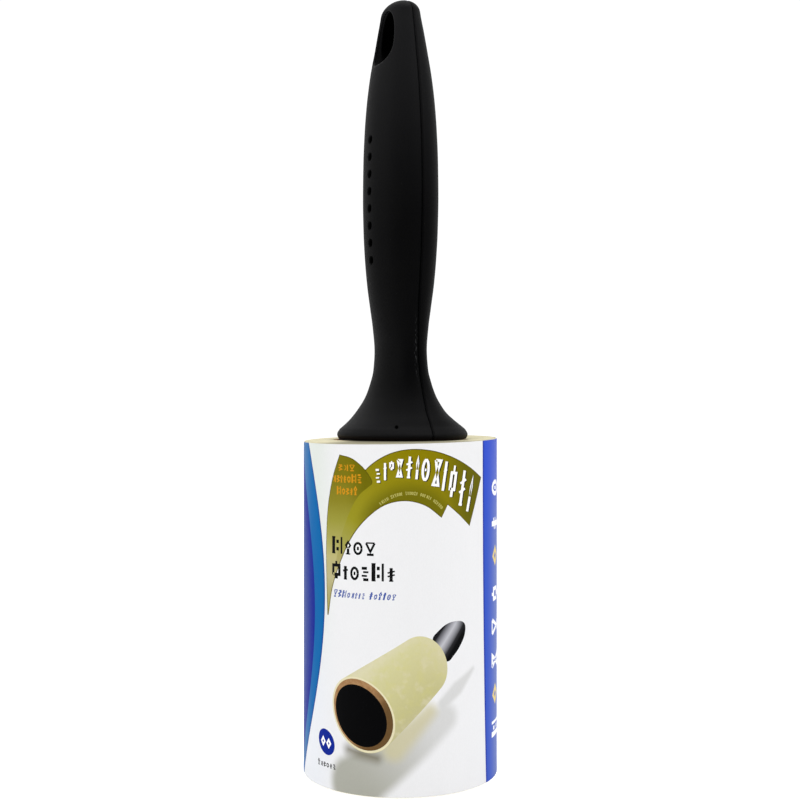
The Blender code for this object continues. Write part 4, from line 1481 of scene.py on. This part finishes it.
tape = wound_roll()
sheet_profile = soft_corner(tube_profile(WRAP_R - 0.52, WRAP_R - 0.32), 0.05, 2)
sheet = turned_piece("outer_sheet", sheet_profile, TAPE, 150, start=160.0, sweep=354.0)
core = turned_piece("card_core", soft_corner(tube_profile(19.3, CORE_R), 0.22, 3), CARD, 144)
for piece, fade in ((tape, 90.0), (sheet, 90.0), (wrap, 98.6)):
    lean_top(piece, fade, 101.2)
fit(tape, "refill", "tape_roll")
fit(sheet, "refill", "outer_tape_sheet")
fit(core, "refill", "cardboard_core")


# ============================================================== roller hub
def add_prism(bm, low, high, degrees):
    """Joins two matching outlines by sides and turns them round Z."""
    low, high = [bm.verts.new(p) for p in low], [bm.verts.new(p) for p in high]
    bm.faces.new(low)
    bm.faces.new(high[::-1])
    for k in range(len(low)):
        j = (k + 1) % len(low)
        bm.faces.new((low[k], high[k], high[j], low[j]))
    turn = Matrix.Rotation(math.radians(degrees), 3, "Z")
    bmesh.ops.rotate(bm, verts=low + high, cent=(0, 0, 0), matrix=turn)


def add_blade(bm, outline, half, degrees):
    """An (r, z) outline made +-half thick across its plane."""
    add_prism(bm, *([(r, y, z) for r, z in outline] for y in (-half, half)), degrees)


def from_bmesh(name, bm, mat=None):
    bmesh.ops.recalc_face_normals(bm, faces=bm.faces)
    bmesh.ops.scale(bm, vec=(MM, MM, MM), verts=bm.verts)
    mesh = bpy.data.meshes.new(name)
    bm.to_mesh(mesh)
    bm.free()
    if mat:
        mesh.materials.append(mat)
    return add_object(name, mesh)


def apply_modifiers(obj):
    """Bakes an object's modifiers into its mesh."""
    bpy.context.view_layer.update()
    graph = bpy.context.evaluated_depsgraph_get()
    mesh = bpy.data.meshes.new_from_object(obj.evaluated_get(graph), depsgraph=graph)
    obj.modifiers.clear()
    obj.data = mesh


def bevelled(obj, width):
    mod = obj.modifiers.new("edge", "BEVEL")
    mod.width, mod.segments = width * MM, 3
    mod.limit_method, mod.angle_limit = "ANGLE", math.radians(35)
    apply_modifiers(obj)
    shade(obj, 38)


# Quarter turns of the spring fingers and the windows they stand in, in degrees.
FINGER_TURNS = [22.5 + 90 * k for k in range(4)]
# Radius, height and corner radius round the sleeve's wall, with a web near each end.
SLEEVE = (
    (16.8, 2.4, 0.3), (16.8, 101.62, 0.3), (18.9, 101.62, 0.05), (19.1, 101.72, 0.05),
    (19.1, 101.89, 0.04), (15.3, 101.89, 0.1), (15.3, 97.5, 0.4), (9.3, 97.5, 0.2),
    (9.3, 93.5, 0.2), (15.3, 93.5, 0.4), (15.3, 10.2, 0.4), (7.8, 10.2, 0.2),
    (7.8, 7.0, 0.2), (15.3, 7.0, 0.4), (15.3, 2.4, 0.2),
)
# Radius, height and corner radius of a long rib.
RIB = (
    (16.4, 4.0, 0), (17.3, 4.0, 0.6), (18.9, 9.0, 1.6), (18.9, 101.7, 0), (16.4, 101.7, 0),
)
# Radius, height and corner radius of a spring finger.
FINGER = (
    (15.3, 12.3, 0.4), (16.8, 12.3, 0.8), (18.6, 16.3, 1.2), (18.6, 18.6, 1.4),
    (16.8, 22.5, 1.8), (16.8, 47.1, 0), (15.3, 47.1, 0),
)
# Radius and height round the end cap.
CAP_PROFILE = [
    (0.02, 0.75), (1.3, 0.75), (1.5, 0.62), (2.6, 0.62), (2.8, 0.8), (12.4, 0.8), (12.8, 0.62),
    (17.4, 0.6), (17.9, 0.75), (18.2, 1.05), (18.3, 1.3), (18.25, 1.9), (18.0, 2.1),
    (15.0, 2.1), (15.0, 5.0), (14.8, 5.2), (13.8, 5.2), (13.6, 5.0), (13.6, 2.1), (0.02, 2.1),
]


def softened(table, steps):
    """Outline from rows of radius, height and corner radius."""
    return soft_corner([row[:2] for row in table], [row[2] for row in table], steps)


def make_sleeve():
    sleeve = turned_piece("hub_sleeve", softened(SLEEVE, 3), HUB, 128)
    outline = soft_corner([(-4.1, 11.4), (4.1, 11.4), (4.1, 47.6), (-4.1, 47.6)], 1.2, 4)
    windows = []
    for k, degrees in enumerate(FINGER_TURNS):
        bm = bmesh.new()
        add_prism(bm, *([(x, y, z) for y, z in outline] for x in (13.6, 18.2)), degrees)
        windows.append(from_bmesh(f"window_{k}", bm))
    for window in windows:
        mod = sleeve.modifiers.new(window.name, "BOOLEAN")
        mod.object, mod.operation, mod.solver = window, "DIFFERENCE", "EXACT"
    apply_modifiers(sleeve)
    for window in windows:
        bpy.data.objects.remove(window, do_unlink=True)
    shade(sleeve, 36)
    return sleeve


def make_ribs():
    bm = bmesh.new()
    for k in range(8):
        add_blade(bm, softened(RIB, 4), half=0.8, degrees=45.0 * k)
    ribs = from_bmesh("hub_ribs", bm, HUB)
    bevelled(ribs, 0.28)
    return ribs


def make_finger(number, degrees):
    bm = bmesh.new()
    add_blade(bm, softened(FINGER, 4), half=3.5, degrees=degrees)
    finger = from_bmesh(f"spring_finger_{number}", bm, HUB)
    bevelled(finger, 0.35)
    return finger


sleeve = make_sleeve()
ribs = make_ribs()
fit(sleeve, "hub", "hub_barrel")
fit(ribs, "hub", None)
for number, degrees in enumerate(FINGER_TURNS, 1):
    fit(make_finger(number, degrees), f"finger_{number}", f"grip_finger_{number}")
cap = turned_piece("end_cap", CAP_PROFILE, CAP, 128, smooth_angle=50)
fit(cap, "hub", "hub_end_cap")

CAD_MATERIALS = {
    "spindle": SPINDLE,
    "upper_bearing": BEARING,
    "lower_bearing": BEARING,
    "spindle_retaining_ring": STEEL,
}
for node, mat in CAD_MATERIALS.items():
    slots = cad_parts[node].data.materials
    slots.clear()
    slots.append(mat)

# ============================================================== stage, light, camera
scene = bpy.context.scene
scene.view_settings.view_transform = "Standard"
scene.view_settings.look = "None"


def floor_look(n):
    cloud = n.place().noise(scale=0.004)
    n.surface({
        "Base Color": n.mix(cloud, (0.8, 0.8, 0.81, 1), (0.82, 0.82, 0.82, 1)),
        "Roughness": 0.7,
        "Specular IOR Level": 0.1,
        "Emission Color": (1, 1, 1, 1),
        "Emission Strength": 0.5,
    })


bm = bmesh.new()
bmesh.ops.create_circle(bm, cap_ends=True, segments=96, radius=4000.0)
floor = from_bmesh("studio_floor", bm, material("studio_floor_white", floor_look, (0.9, 0.9, 0.9)))
floor.location.z = -0.0002


def light_world():
    """White backdrop for the camera; a room brighter behind the roller and above lights it."""
    world = bpy.data.worlds.new("studio")
    scene.world = world
    world.use_nodes = True
    n = Nodes(world.node_tree)
    direction = n.new("ShaderNodeTexCoord", {}, out="Generated")
    _, _, up = direction.xyz()
    behind = direction.dot(-FRONT).ease(-0.5, 0.9, to_start=0.33, to_end=0.8)
    room = behind + up.ease(0.1, 0.9, to_start=0.0, to_end=0.3)
    seen = n.new("ShaderNodeLightPath", {}, out="Is Camera Ray")
    strength = seen * 1.05 + (1.0 - seen) * room
    background = world.node_tree.nodes["Background"]
    n.fill(background, {"Color": (1, 1, 1, 1), "Strength": strength})


light_world()
LIGHT_TARGET = Vector((0, 0, 0.118))  # metres


def softbox(name, right, front, up, width, height, power):
    """An area light to the viewer's right, towards the viewer and up, in millimetres."""
    light = bpy.data.lights.new(name, "AREA")
    light.shape, light.energy = "RECTANGLE", power
    light.size, light.size_y = width * MM, height * MM
    obj = bpy.data.objects.new(name, light)
    obj.location = Vector(RIGHT * right + FRONT * front) * MM + Vector((0, 0, up * MM))
    obj.rotation_euler = (LIGHT_TARGET - obj.location).to_track_quat("-Z", "Y").to_euler()
    obj.visible_camera = False
    scene.collection.objects.link(obj)


softbox("key_left", right=-1250, front=250, up=450, width=700, height=900, power=3.6)
softbox("fill_right", right=760, front=850, up=1050, width=700, height=900, power=5.4)
softbox("top", right=0, front=100, up=1300, width=900, height=900, power=5.0)

CAM_DISTANCE, CAM_LEFT, CAM_HEIGHT = 387.0, 0.1, 113.8
camera = add_object("camera", bpy.data.cameras.new("camera"))
camera.data.lens = 56.27
camera.data.clip_start = 0.01
camera_place = FRONT * CAM_DISTANCE - RIGHT * CAM_LEFT
camera.location = Vector(camera_place) * MM + Vector((0, 0, CAM_HEIGHT * MM))
camera.rotation_euler = (math.radians(90), 0, VIEW_AZ)
scene.camera = camera
